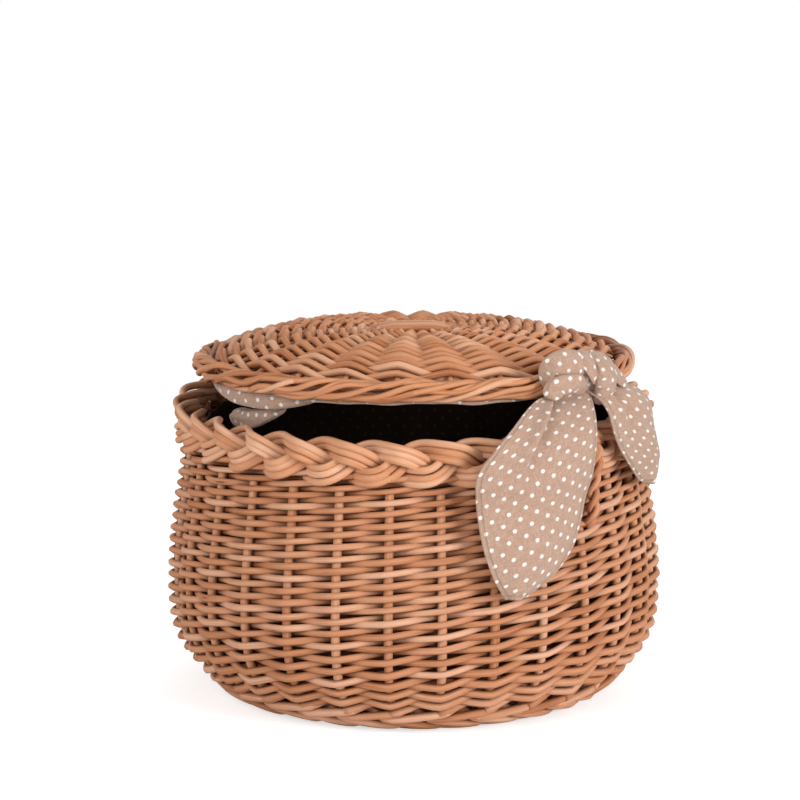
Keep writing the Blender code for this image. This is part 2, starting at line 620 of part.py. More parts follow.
def make_ties():
    """Right tie with its knot and two hanging tails, and left tie tucked in under the lid."""
    points, faces = border_wrap(
        TIE_DEGREES, KNOT_DEPTH, KNOT_HALF_WIDTH, BAND_THICK, BAND_HALF_WIDTH, KNOT_LIFT_DEGREES,
        KNOT_FOLD_SHARE)
    add_lid_piece("right_tie_knot", points, faces, COTTON, 0.9)
    points, faces = tail(
        FRONT_TAIL_LEFT_DEGREES, FRONT_TAIL_RIGHT_DEGREES, FRONT_TAIL_HEIGHT_SHARES,
        FRONT_TAIL_TOP, FRONT_TAIL_TIP, TAIL_STAND, FRONT_TAIL_SPREAD, FRONT_TAIL_FOLDS)
    unturned(add_piece("right_tie_front_tail", points, faces, COTTON, 0.9))
    points, faces = tail(
        SIDE_TAIL_LEFT_DEGREES, SIDE_TAIL_RIGHT_DEGREES, SIDE_TAIL_HEIGHT_SHARES,
        SIDE_TAIL_TOP, SIDE_TAIL_TIP, SIDE_TAIL_STAND, SIDE_TAIL_SPREAD, SIDE_TAIL_FOLDS)
    unturned(add_piece("right_tie_side_tail", points, faces, COTTON, 0.9))
    part = np.linspace(0.0, 1.0, ROLL_STEPS)
    degrees = ROLL_START_DEGREES + (ROLL_END_DEGREES - ROLL_START_DEGREES) * part
    sag = -0.5 * ROLL_RADIUS * np.sin(math.pi * part)
    path = spot(degrees, ROLL_CENTRE_RADIUS, ROLL_HEIGHT + sag)
    swell = ROLL_RADIUS * (0.45 + 0.55 * np.sin(math.pi * (0.08 + 0.84 * part)) + 0.05 * np.cos(9 * part))
    rings = round_rings(path, swell, ROLL_SIDES, np.array([0.0, 0.0, 1.0]), False)
    points, faces = skin(rings, False)
    add_lid_piece("left_tie_roll", points, faces, COTTON, 0.9)
    lump_height = ROLL_HEIGHT - 1.5 * ROLL_RADIUS - LUMP_FIT - LUMP_HEIGHT
    part = np.radians(np.linspace(-80.0, 80.0, 9))
    angles = np.arange(ROLL_SIDES) * 2 * math.pi / ROLL_SIDES
    rings = []
    for k, lean in enumerate(part):
        gather = 1 + 0.10 * math.cos(2.0 * k)
        radius = ROLL_CENTRE_RADIUS + gather * LUMP_DEPTH * math.cos(lean) * np.cos(angles)
        height = lump_height + LUMP_HEIGHT * math.cos(lean) * np.sin(angles)
        along = LUMP_DEGREES + math.degrees(LUMP_LENGTH * math.sin(lean) / ROLL_CENTRE_RADIUS)
        rings.append(spot(along, radius, height))
    points, faces = skin(np.array(rings), False)
    add_lid_piece("left_tie_knot", points, faces, COTTON, 0.9)


def unturned(made):
    """Put the origin of a piece that was made in its seen place on the hinge line."""
    shift = np.array([0.0, HINGE_BACK, HINGE_HEIGHT])
    for vertex in made.data.vertices:
        vertex.co = np.array(vertex.co) - shift
    made.location = shift


def make_side_loop():
    """Twisted willow loop on the wall, both ends at the weave, that a tie can pass through."""
    lower, upper = LOOP_LOW, LOOP_HIGH
    middle = (LOOP_RIGHT_DEGREES + LOOP_LEFT_DEGREES) / 2
    half = (LOOP_RIGHT_DEGREES - LOOP_LEFT_DEGREES) / 2
    angles = np.radians(np.linspace(0.0, 180.0, 7))
    legs = np.linspace(lower, upper, 4)[:-1]
    degrees = np.concatenate([np.full(3, middle + half), middle + half * np.cos(angles), np.full(3, middle - half)])
    arch = (WALL_TOP - upper - LOOP_ROPE_RADIUS) * LOOP_ARCH_SHARE
    heights = np.concatenate([legs, upper + arch * np.sin(angles), legs[::-1]])
    rise = (heights - lower) / (upper - lower)
    stand = LOOP_ROPE_RADIUS + LOOP_FIT + LOOP_BULGE * np.clip(rise, 0.0, 1.0)
    radii, line_heights = on_line(LINE_S, CANE_OUT + CANE_THICK / 2)
    path = spot(degrees, np.interp(heights, line_heights, radii) + stand, heights)
    rings = round_rings(path, LOOP_ROPE_RADIUS, 6, spot(middle, 1.0, 0.0), False)
    points, faces = skin(rings, False)
    add_piece("side_loop", points, faces, WILLOW_DARK)


for old in list(bpy.data.objects):
    bpy.data.objects.remove(old, do_unlink=True)
make_stakes()
make_wall()
make_rim()
make_liner(make_base())
make_side_loop()
make_lid()
make_hinge_rings()
make_ties()
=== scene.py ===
"""Onion basket of woven willow with a hinged woven lid, a cotton lining and two cotton ties.

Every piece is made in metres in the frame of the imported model: +Z up, resting on z = 0, front towards -Y.
Azimuth is in degrees from the front, -Y, turning towards +X.  Colours are linear red, green and blue.
"""
import math

import bpy
import numpy as np
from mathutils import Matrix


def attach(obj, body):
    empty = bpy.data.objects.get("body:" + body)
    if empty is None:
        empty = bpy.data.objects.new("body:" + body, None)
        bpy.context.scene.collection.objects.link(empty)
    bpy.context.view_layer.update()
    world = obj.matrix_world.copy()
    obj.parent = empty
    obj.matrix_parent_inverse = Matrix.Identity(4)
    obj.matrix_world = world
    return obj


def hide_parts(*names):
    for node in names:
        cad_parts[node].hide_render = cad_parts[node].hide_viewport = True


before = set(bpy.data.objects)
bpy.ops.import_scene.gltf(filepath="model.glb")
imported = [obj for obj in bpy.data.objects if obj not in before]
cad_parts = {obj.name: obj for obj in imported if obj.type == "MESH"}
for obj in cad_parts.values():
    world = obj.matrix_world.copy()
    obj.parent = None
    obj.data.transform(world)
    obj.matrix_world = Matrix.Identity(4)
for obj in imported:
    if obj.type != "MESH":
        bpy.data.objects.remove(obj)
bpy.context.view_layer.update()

# Camera, studio light and floor
# The photograph is a product shot on pure white: a long lens a little above the basket, a white sweep that
# shows only a faint shadow, a large soft light above and to the left, and white cards all around.
CAMERA_LENS = 171.0
CAMERA_SENSOR = 36.0
CAMERA_PLACE = (0.0, -1.8535, 0.5127)
CAMERA_TILT = math.radians(77.3)
CAMERA_SHIFT = (-0.0169, 0.1213)
CAMERA_REACH = 20.0
# Each lamp: name, place, the height on the basket's axis that it faces, width and watts
LAMPS = (("key_softbox", (-0.8, -1.65, 1.15), 0.08, 0.7, 9.5),
         ("right_softbox", (1.5, -1.3, 0.6), 0.08, 0.8, 29.0),
         ("left_card", (-1.6, -0.9, 0.5), 0.08, 1.0, 9.0),
         ("top_softbox", (0.1, -0.1, 1.9), 0.10, 1.0, 3.0),
         ("back_card", (0.6, 1.9, 0.9), 0.08, 1.4, 10.0),
         ("front_card", (0.2, -2.3, 0.25), 0.08, 1.2, 6.5))
WHITE = (1.0, 1.0, 1.0)
SKY_COLOUR = (1.0, 0.99, 0.97)
SKY_STRENGTH = 0.28
FLOOR_RADIUS = 0.75
FLOOR_CORNERS = 96
FLOOR_GREY = (0.8, 0.8, 0.8)
FLOOR_LIFTED = (0.62, 0.62, 0.62)

scene = bpy.context.scene
scene.view_settings.view_transform = "Standard"


def placed(name, data, place=(0.0, 0.0, 0.0), turn=(0.0, 0.0, 0.0)):
    """A new object with its data, in the scene at a place and a turn."""
    made = bpy.data.objects.new(name, data)
    made.location = place
    made.rotation_euler = turn
    scene.collection.objects.link(made)
    return made


camera_data = bpy.data.cameras.new("camera")
camera_data.lens = CAMERA_LENS
camera_data.sensor_width = CAMERA_SENSOR
camera_data.shift_x, camera_data.shift_y = CAMERA_SHIFT
camera_data.clip_end = CAMERA_REACH
scene.camera = placed("camera", camera_data, CAMERA_PLACE, (CAMERA_TILT, 0.0, 0.0))

for name, place, facing, width, watts in LAMPS:
    lamp = bpy.data.lights.new(name, "AREA")
    lamp.shape = "SQUARE"
    lamp.size = width
    lamp.energy = watts
    lean = math.atan2(math.hypot(place[0], place[1]), place[2] - facing)
    placed(name, lamp, place, (lean, 0.0, math.atan2(place[0], -place[1])))


class Signal:
    """One output socket of a node, with arithmetic on it."""

    def __init__(self, nodes, socket):
        self.nodes = nodes
        self.socket = socket

    def __add__(self, other):
        return self.nodes.sum("ADD", self, other)

    def __sub__(self, other):
        return self.nodes.sum("SUBTRACT", self, other)

    def __mul__(self, other):
        return self.nodes.sum("MULTIPLY", self, other)

    def __truediv__(self, other):
        return self.nodes.sum("DIVIDE", self, other)

    def __rsub__(self, other):
        return self.nodes.sum("SUBTRACT", other, self)

    __radd__ = __add__
    __rmul__ = __mul__


class Nodes:
    """The node tree of a material or a world, and short calls that add nodes to it."""

    def __init__(self, owner):
        owner.use_nodes = True
        self.owner = owner
        self.tree = owner.node_tree

    def put(self, value, socket):
        """Links a Signal to a socket, or sets the socket to a number or a colour."""
        if isinstance(value, Signal):
            self.tree.links.new(value.socket, socket)
        else:
            socket.default_value = (*value, 1.0) if isinstance(value, tuple) else value

    def node(self, kind, output=0, inputs=None, **settings):
        """A new node of a kind, with its inputs by name or number, as the Signal of one output."""
        made = self.tree.nodes.new(kind)
        for key, value in settings.items():
            setattr(made, key, value)
        for key, value in (inputs or {}).items():
            self.put(value, made.inputs[key])
        return Signal(self, made.outputs[output])

    def sum(self, operation, first, second=0.0):
        """A Math node on one or two values."""
        return self.node("ShaderNodeMath", 0, {0: first, 1: second}, operation=operation)

    def between(self, value, low, high):
        """0 below low, 1 above high, and a smooth way between."""
        return self.node("ShaderNodeMapRange", 0, {"Value": value, "From Min": low, "From Max": high},
                         interpolation_type="SMOOTHSTEP")

    def mix(self, share, first, second):
        """A colour mixed from two."""
        return self.node("ShaderNodeMix", 2, {0: share, 6: first, 7: second}, data_type="RGBA")

    def vector(self, x, y, z):
        """A vector of three values."""
        return self.node("ShaderNodeCombineXYZ", 0, {0: x, 1: y, 2: z})

    def axes(self, vector):
        """The three values of a vector."""
        made = self.node("ShaderNodeSeparateXYZ", 0, {0: vector}).socket.node
        return [Signal(self, output) for output in made.outputs]

    def noise(self, vector, scale, detail=2.0, rough=0.5):
        """Cloudy noise from 0 to 1, with scale clouds to a unit of the vector."""
        return self.node("ShaderNodeTexNoise", 0, {"Vector": vector, "Scale": scale, "Detail": detail,
                                                   "Roughness": rough})


class Paint(Nodes):
    """A new material with a Principled shader."""

    def __init__(self, name):
        super().__init__(bpy.data.materials.new(name))

    def finish(self, sockets, height=None, rise=0.0):
        """Sets or links the shader's sockets by name, with a bump of height times rise metres."""
        shader = self.tree.nodes["Principled BSDF"]
        for name, value in sockets.items():
            self.put(value, shader.inputs[name])
        if height is not None:
            bump = self.node("ShaderNodeBump", 0, {"Height": height, "Distance": rise, "Strength": 1.0})
            self.put(bump, shader.inputs["Normal"])
        return self.owner


# The world lights the basket softly, and shows as white to the camera and in reflections
sky = Nodes(bpy.data.worlds.new("studio"))
scene.world = sky.owner
sky.tree.nodes.clear()
seen = 0.0
for kind in ("Is Camera Ray", "Is Glossy Ray", "Is Transmission Ray"):
    seen = sky.sum("MAXIMUM", seen, sky.node("ShaderNodeLightPath", kind))
soft_sky = sky.node("ShaderNodeBackground", 0, {"Color": SKY_COLOUR, "Strength": SKY_STRENGTH})
white_sky = sky.node("ShaderNodeBackground", 0, {"Color": WHITE, "Strength": 1.0})
sky_seen = sky.node("ShaderNodeMixShader", 0, {0: seen, 1: soft_sky, 2: white_sky})
sky.put(sky_seen, sky.tree.nodes.new("ShaderNodeOutputWorld").inputs["Surface"])

# The floor is a round pale sheet, lifted to white for the camera alone, so that it keeps the basket's shadow
turn = np.linspace(0.0, 2 * math.pi, FLOOR_CORNERS, endpoint=False)
floor_edge = np.stack([FLOOR_RADIUS * np.cos(turn), FLOOR_RADIUS * np.sin(turn), 0.0 * turn], axis=1)
floor_mesh = bpy.data.meshes.new("floor")
floor_mesh.from_pydata(floor_edge.tolist(), [], [list(range(FLOOR_CORNERS))])
floor_sheet = placed("floor", floor_mesh)
floor_paint = Paint("floor_white")
to_camera = floor_paint.node("ShaderNodeLightPath", "Is Camera Ray")
floor_mesh.materials.append(floor_paint.finish({
    "Base Color": FLOOR_GREY, "Roughness": 0.9, "Specular IOR Level": 0.0,
    "Emission Color": floor_paint.mix(to_camera, (0.0, 0.0, 0.0), FLOOR_LIFTED), "Emission Strength": 1.0}))


# Base
# Two bundles of five thick willow sticks cross in the middle and are opened into twenty spokes, and rods are
# woven between them, over one and under the next, out to the foot of the wall.
BASE_STICKS = 5
BASE_STICK_PITCH = 0.0044
BASE_STICK_RADIUS = 0.0018
BASE_BUNDLES = ((0.0, -0.0024), (90.0, 0.0012))
BASE_END = 0.0850
BASE_MIDDLE = 0.0044
BASE_SPOKES = 4 * BASE_STICKS
BASE_WEAVE_START = 0.0210
BASE_WEAVE_END = 0.0838
BASE_PITCH = 0.0036
BASE_ROD = 0.0015
SLATH_SAMPLES = 81
SLATH_HOLD = 0.0130
SLATH_FAN = 0.022
SLATH_LEVEL_FROM = 0.0104
SLATH_LEVEL_OVER = 0.010
WEAVE_STEPS = 8
DISC_BEND = 0.965
STOUT_SIDES = 10
UP = np.array([0.0, 0.0, 1.0])
# What darkens every willow: grain and knots, which are its own colour, and painted shade where a rod
# passes behind a stake and on the sides and back of each rod, away from its outer face
GRAIN_BROWN = (0.30, 0.13, 0.055)
KNOT_BROWN = (0.13, 0.048, 0.02)
SHADE_BEHIND_STAKE_BROWN = (0.12, 0.034, 0.009)
SIDE_SHADE_BROWN = (0.135, 0.036, 0.008)
WILLOW_BUMP = 0.00016
WILLOW_GLOSS = 0.14


def beside(*values):
    """Arrays spread to one shape and set side by side in a last axis."""
    return np.stack(np.broadcast_arrays(*values), axis=-1)


def around(degrees, radius, height):
    """Point at an azimuth: (r sin a, -r cos a, z)."""
    angle = np.radians(degrees)
    return beside(radius * np.sin(angle), -radius * np.cos(angle), height)


def turned(x, y, degrees):
    """A pair turned by an angle: (x cos a - y sin a, x sin a + y cos a)."""
    a = math.radians(degrees)
    return x * math.cos(a) - y * math.sin(a), x * math.sin(a) + y * math.cos(a)


def unit(vectors):
    """Vectors divided by their lengths."""
    return vectors / np.maximum(np.linalg.norm(vectors, axis=-1, keepdims=True), 1e-12)


def travelled(points, axis):
    """Length along lines of points: 0 at the first, then the running sum of the steps."""
    steps = np.linalg.norm(np.diff(points, axis=axis), axis=-1)
    return np.insert(np.cumsum(steps, axis=axis), 0, 0.0, axis=axis)


def ramp(value, start, end):
    """0 at start and before it, 1 at end and past it, and straight between; start may be above end."""
    return np.clip((value - start) / (end - start), 0.0, 1.0)


def soft_ramp(value, start, end):
    """The ramp f made smooth: 3 f^2 - 2 f^3."""
    way = ramp(value, start, end)
    return way * way * (3 - 2 * way)


def uneven(count, along, size, seed):
    """Slow random waves, another for each rod: size times the mean of three sines of along."""
    rng = np.random.default_rng(seed)
    pace = rng.uniform(0.4, 1.7, (count, 3, 1))
    start = rng.uniform(0.0, 2 * math.pi, (count, 3, 1))
    return size * np.sin(pace * np.atleast_2d(along)[:, None] + start).mean(axis=1)


def mesh_piece(name, points, faces, uv, **numbers):
    """A mesh object from its points, its faces in blocks of equal sides, the UV of each face corner, and
    numbers for the points by attribute name.  Faces of four corners are smooth."""
    mesh = bpy.data.meshes.new(name)
    mesh.vertices.add(points.size // 3)
    mesh.vertices.foreach_set("co", points.ravel())
    corners = np.concatenate([block.ravel() for block in faces])
    mesh.loops.add(corners.size)
    mesh.loops.foreach_set("vertex_index", corners)
    sides = np.concatenate([np.full(len(block), block.shape[1]) for block in faces])
    mesh.polygons.add(sides.size)
    mesh.polygons.foreach_set("loop_start", np.cumsum(sides) - sides)
    mesh.update(calc_edges=True)
    mesh.polygons.foreach_set("use_smooth", sides == 4)
    mesh.uv_layers.new(name="UVMap").data.foreach_set("uv", uv.ravel())
    for attribute, values in numbers.items():
        mesh.attributes.new(attribute, "FLOAT", "POINT").data.foreach_set("value", values.ravel())
    mesh.validate()
    return placed(name, mesh)


def rods(name, lines, outward, radius, sides=8, closed=False, flat=1.0, tone=None, seed=1, pressed=0.0):
    """Round rods as one mesh, along lines of rods x points x 3, over which the other arrays spread.

    Corner k of a ring is line + radius (flat out cos a + side sin a), a = pi + 2 pi k / sides, where out is
    outward made square to the rod and side = ahead x out.  The point attribute tone is a random number for
    each rod, pressed is 1 where it is pushed in behind a stake, where the willow gets painted
    shade, and UV is metres along the rod and the share of the way round it.
    """
    count, points = lines.shape[:2]
    if closed:
        ahead = unit(np.roll(lines, -1, axis=1) - np.roll(lines, 1, axis=1))
        along = travelled(np.concatenate([lines, lines[:, :1]], axis=1), 1)
    else:
        ahead = unit(np.gradient(lines, axis=1))
        along = travelled(lines, 1)
    out = unit(outward - (outward * ahead).sum(axis=2, keepdims=True) * ahead)
    side = np.cross(ahead, out)
    angle = math.pi + 2 * math.pi * np.arange(sides) / sides
    ring = flat * out[:, :, None] * np.cos(angle)[:, None] + side[:, :, None] * np.sin(angle)[:, None]
    rings = lines[:, :, None] + np.broadcast_to(radius, (count, points))[:, :, None, None] * ring
    corner = np.arange(count * points * sides).reshape(count, points, sides)
    last = points if closed else points - 1
    here = corner[:, :last]
    there = np.roll(corner, -1, axis=1)[:, :last]
    quads = beside(here, np.roll(here, -1, axis=2), np.roll(there, -1, axis=2), there)
    share = np.arange(sides + 1) / sides
    low, high = along[:, :last, None], along[:, 1:last + 1, None]
    u = beside(low, low, high, high)
    v = beside(share[:-1], share[1:], share[1:], share[:-1])
    faces = [quads.reshape(-1, 4)]
    uv = [beside(u, v).reshape(-1, 2)]
    if not closed:
        faces.append(np.concatenate([corner[:, 0, ::-1], corner[:, -1]]))
        ends = np.concatenate([along[:, 0], along[:, -1]])[:, None]
        uv.append(beside(ends, share[None, :-1]).reshape(-1, 2))
    if tone is None:
        tone = np.random.default_rng(seed).random((count, 1))
    tone = np.repeat(np.broadcast_to(tone, (count, points)), sides)
    pressed = np.repeat(np.broadcast_to(pressed, (count, points)), sides)
    return mesh_piece(name, rings, faces, np.concatenate(uv), tone=tone, pressed=pressed)


def willow(name, pale, middle, deep, side_shade=0.78):
    """Boiled and peeled willow: a satin orange-tan skin with fine grain, each rod another shade, and small
    brown knots, with painted shade where it passes behind a stake and on the sides and back of each rod;
    side_shade is how dark that painted shade on its sides is.

    The shade goes from pale over middle to deep.  Noise is read at u and v times its counts to a metre along
    the rod and once round it.
    """
    paint = Paint(name)
    tone = paint.node("ShaderNodeAttribute", "Fac", attribute_name="tone")
    pressed = paint.node("ShaderNodeAttribute", "Fac", attribute_name="pressed")
    u, v, _ = paint.axes(paint.node("ShaderNodeUVMap", uv_map="UVMap"))
    drift = paint.noise(paint.node("ShaderNodeTexCoord", "Object"), 38.0)
    grain = paint.noise(paint.vector(u * 55.0, v * 16.0, tone * 91.0), 1.0, 4.0, 0.62)
    fine = paint.noise(paint.vector(u * 260.0, v * 46.0, tone * 57.0), 1.0, 3.0, 0.6)
    cells = paint.node("ShaderNodeTexVoronoi", "Distance",
                       {"Vector": paint.vector(u * 17.0, v * 1.6, tone * 83.0), "Scale": 1.0})
    knot = 1.0 - paint.between(cells + 0.03 * fine, 0.045, 0.085)
    ring = 1.0 - paint.between(cells, 0.10, 0.22)
    patch = paint.noise(paint.vector(u * 14.0, v * 2.0, tone * 71.0), 1.0)
    shade = tone * 0.58 + drift * 0.24 + (grain - 0.5) * 0.85 + (patch - 0.5) * 0.55
    body = paint.mix(paint.between(shade, 0.05, 0.48), pale, middle)
    body = paint.mix(paint.between(shade, 0.46, 0.95), body, deep)
    body = paint.mix(paint.between(fine, 0.58, 0.80) * 0.28, body, GRAIN_BROWN)
    body = paint.mix(ring * 0.30, body, deep)
    body = paint.mix(knot * 0.85, body, KNOT_BROWN)
    # Painted shade where the rod is pushed in behind a stake
    body = paint.mix(pressed * 0.62, body, SHADE_BEHIND_STAKE_BROWN)
    # Painted shade on the sides and back of each rod, away from its outer face
    shaded_side = paint.between(paint.sum("ABSOLUTE", v - 0.5), 0.13, 0.38)
    body = paint.mix(shaded_side * side_shade, body, SIDE_SHADE_BROWN)
    height = grain * 0.55 + fine * 0.35 + knot * 0.9
    return paint.finish({"Base Color": body, "Roughness": 0.42 + 0.20 * grain + 0.12 * fine,
                         "Specular IOR Level": WILLOW_GLOSS}, height, WILLOW_BUMP)


stake_willow = willow("stake_willow", (0.76, 0.435, 0.275), (0.63, 0.300, 0.158), (0.45, 0.175, 0.075))
weave_willow = willow("weave_willow", (0.72, 0.405, 0.262), (0.57, 0.255, 0.130), (0.34, 0.115, 0.045))


def dress(piece, material, body, slot, *replaced):
    """Gives a piece its material, its body and the model nodes that it stands for; slot is not used."""
    piece.data.materials.clear()
    piece.data.materials.append(material)
    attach(piece, body)
    if replaced:
        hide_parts(*replaced)


def slath(sticks, pitch, thick, end, surface, bundles):
    """Crossing bundles of sticks on a surface, each given by its turn in degrees and its lift.

    The sticks are straight and side by side for |s| < hold, then each leans into its own spoke's azimuth and
    thins by 0.3, while the bundle's lift goes to 0.  They differ in thickness by 0.05 cos(3 stick).
    """
    stick = np.arange(sticks)[:, None] - (sticks - 1) / 2
    s = np.linspace(-end, end, SLATH_SAMPLES)[None]
    fan = np.radians(90.0 / sticks * stick)
    far = soft_ramp(np.abs(s), SLATH_HOLD, SLATH_HOLD + SLATH_FAN)
    crossing = ramp(np.abs(s), SLATH_LEVEL_FROM + SLATH_LEVEL_OVER, SLATH_LEVEL_FROM)
    x = (1 - far) * stick * pitch + far * np.abs(s) * np.sin(fan)
    y = (1 - far) * s + far * s * np.cos(fan)
    lines = []
    for degrees, lift in bundles:
        lines.append(beside(*turned(x, y, degrees), surface(np.hypot(x, y)) + lift * crossing))
    size = thick * (1.0 - 0.30 * far) * (1.0 + 0.05 * np.cos(3.0 * stick))
    return np.concatenate(lines), np.concatenate([size] * len(bundles))


def randing(count, levels, bend):
    """Passes of count rods: t in stakes, level = rod + t, and the weave's wave, 1 in front and -1 behind:
    wave = asin(bend cos(pi level)) / asin(bend), straight between stakes with a tight bend at each one."""
    level = np.linspace(0.0, levels, levels * WEAVE_STEPS + 1)[None]
    t = level - np.arange(count)[:, None]
    return t, level, np.arcsin(bend * np.cos(math.pi * level)) / math.asin(bend)


def base_height(radius):
    """The base is flat."""
    return BASE_MIDDLE + 0.0 * radius


base_lines, base_size = slath(BASE_STICKS, BASE_STICK_PITCH, BASE_STICK_RADIUS, BASE_END, base_height,
                              BASE_BUNDLES)
base_sticks = rods("base_slath_and_spokes", base_lines, UP, base_size, sides=STOUT_SIDES, seed=81)
dress(base_sticks, stake_willow, "basket", "base_willow", "base_sticks_lower", "base_sticks_upper")

t, level, wave = randing(BASE_SPOKES, int((BASE_WEAVE_END - BASE_WEAVE_START) / BASE_PITCH), DISC_BEND)
base_azimuth = 360.0 / BASE_SPOKES * (t + 0.5)
base_reach = BASE_WEAVE_START + BASE_PITCH * level + uneven(BASE_SPOKES, t * 1.2, 0.0004, 82)
base_rise = BASE_MIDDLE + (0.7 * BASE_STICK_RADIUS + BASE_ROD) * wave
base_size = BASE_ROD * (1.0 - 0.12 * np.abs(uneven(BASE_SPOKES, t * 0.4, 1.0, 83)))
base_weave = rods("base_weave_rods", around(base_azimuth, base_reach, base_rise), UP, base_size, seed=84)
dress(base_weave, weave_willow, "basket", "base_willow", "base_weaver_first", "base_weaver_second")


# Wall stakes
# Twenty-nine round willow rods stand up from the edge of the base and shape the belly.  Only short lengths
# show between the rods woven in front of them.
STAKE_COUNT = 29
STAKE_FIRST = -5.8
STAKE_RADIUS = 0.0019
STAKE_SHOWN = 1.18 * STAKE_RADIUS
STAKE_FOOT = 0.004
STAKE_SHORT = 0.001
STAKE_POINTS = 60
FLOOR_LIFT = 0.0064
BELLY_RADIUS = 0.1184
WALL_TOP = 0.1241
# The wall line from the floor edge to the border, as shares of the belly's radius and of the wall's height
LINE_RADIUS_SHARES = (0.6926, 0.7475, 0.8007, 0.8446, 0.8927, 0.9307, 0.9671, 0.9890, 1.0, 1.0, 0.9865,
                      0.9603, 0.9378)
LINE_HEIGHT_SHARES = (0.0, 0.0, 0.0140, 0.0528, 0.0998, 0.1444, 0.2021, 0.2748, 0.3672, 0.4860, 0.6477,
                      0.8119, 1.0)
LINE_SAMPLES = 600
LINE_SMOOTHING = 31
LINE_CLIMBS = 60


def eased(values, window):
    """A running mean over an odd window, with the ends carried on in their own direction."""
    padded = np.pad(values, window // 2, mode="reflect", reflect_type="odd")
    return np.convolve(padded, np.full(window, 1.0 / window), mode="valid")


line = beside(BELLY_RADIUS * np.array(LINE_RADIUS_SHARES),
              FLOOR_LIFT + (WALL_TOP - FLOOR_LIFT) * np.array(LINE_HEIGHT_SHARES))
line_length = travelled(line, 0)
WALL_LENGTH = line_length[-1]
wall_samples = np.linspace(0.0, WALL_LENGTH, LINE_SAMPLES)
wall_radius = eased(np.interp(wall_samples, line_length, line[:, 0]), LINE_SMOOTHING)
wall_height = eased(np.interp(wall_samples, line_length, line[:, 1]), LINE_SMOOTHING)


def on_wall(degrees, length, stand):
    """Point at a length along the wall line and a stand off it, and the wall's outward direction there."""
    radius = np.interp(length, wall_samples, wall_radius)
    height = np.interp(length, wall_samples, wall_height)
    radius_rate = np.interp(length, wall_samples, np.gradient(wall_radius, wall_samples))
    height_rate = np.interp(length, wall_samples, np.gradient(wall_height, wall_samples))
    size = np.hypot(radius_rate, height_rate)
    outward = around(degrees, height_rate / size, -radius_rate / size)
    return around(degrees, radius, height) + outward * np.asarray(stand)[..., None], outward


def wall_at(height):
    """Radius of the wall line at a height, from where the line starts to climb."""
    return np.interp(height, wall_height[LINE_CLIMBS:], wall_radius[LINE_CLIMBS:])


def at_stake(t):
    """Azimuth of stake number t."""
    return STAKE_FIRST + 360.0 / STAKE_COUNT * t


stake_along = np.linspace(STAKE_FOOT, WALL_LENGTH - STAKE_SHORT, STAKE_POINTS)
stake_lines, stake_out = on_wall(at_stake(np.arange(STAKE_COUNT)[:, None]), stake_along[None], 0.0)
stake_size = STAKE_SHOWN * (1.0 + uneven(STAKE_COUNT, stake_along * 60.0, 0.10, 3))
stakes = rods("wall_stakes", stake_lines, stake_out, stake_size, sides=STOUT_SIDES, seed=4)
dress(stakes, stake_willow, "basket", "stake_willow", *["stake_%02d" % (k + 1) for k in range(STAKE_COUNT)])


# Waling at the foot
# Three rows of three-rod wale set the stakes up from the base.  Each rod goes in front of two stakes and
# behind one, and the middle row is worked the other way round, so the rows meet in chevrons.
WALE_ROWS = 3
WALE_START = 0.0045
WALE_PITCH = 0.0066
WALE_ROD = 0.0021
WALE_STEPS = 6
WALE_SLANT = 1.3 * WALE_ROD
WALE_BIAS = 0.25
WALE_FLAT = 2.2
WALE_WANDER = 0.0003


def rod_by_rod(rows, t, seed):
    """A random tone for each new rod, one for every three stakes that a row passes."""
    return np.random.default_rng(seed).random((rows, STAKE_COUNT + 1))[:, (t[0] // 3).astype(int)]


# A row is one closed line of three laps: phase = 2 pi (lean t + 1/2 + row) / 3 at t stakes, its wave is a
# flattened cosine of the phase, and it rises and falls with the sine.
t = np.arange(3 * STAKE_COUNT * WALE_STEPS)[None] / WALE_STEPS
there_and_back = np.abs(t - 1.5 * STAKE_COUNT)
row = np.arange(WALE_ROWS)[:, None]
lean = 1.0 - 2.0 * (row % 2)
phase = 2 * math.pi * (lean * t + 0.5 + row) / 3
wale_wave = np.tanh(WALE_FLAT * (np.cos(phase) + WALE_BIAS)) / math.tanh(WALE_FLAT * (1 + WALE_BIAS))
wale_stand = (STAKE_RADIUS + WALE_ROD) * wale_wave + uneven(WALE_ROWS, there_and_back, WALE_WANDER, 8)
wale_length = WALE_START + (row + 0.4) * WALE_PITCH + WALE_SLANT * np.sin(phase)
wale_length = wale_length + uneven(WALE_ROWS, there_and_back, WALE_WANDER, 9)
wale_lines, wale_out = on_wall(at_stake(t), wale_length, wale_stand)
wale_size = WALE_ROD * (1.0 + uneven(WALE_ROWS, there_and_back, 0.13, 10))
# The wale rods get painted shade where they pass behind a stake
wale = rods("wale_rods", wale_lines, wale_out, wale_size, closed=True, tone=rod_by_rod(WALE_ROWS, t, 11),
            pressed=np.clip(0.1 - wale_wave, 0.0, 1.0))
dress(wale, weave_willow, "basket", "weave_willow", "wale_weave")


# Wall weave
# French randing: twenty-nine willow rods, one started behind each stake, each in front of one stake and
# behind the next, worked together so that every rod climbs one row for every stake it passes.
ROW_PITCH_LOW = 0.00325
ROW_PITCH_HIGH = 0.00266
ROD_SHARE = 0.57
RAND_START = 0.0235
RAND_PAST = 0.006
RAND_BEND = 0.985
RAND_WANDER = 0.0006
RAND_LOOSE = 0.00045
RAND_TUCK = 0.014
STOUT_ROWS = 16.0
STOUTER = 0.12

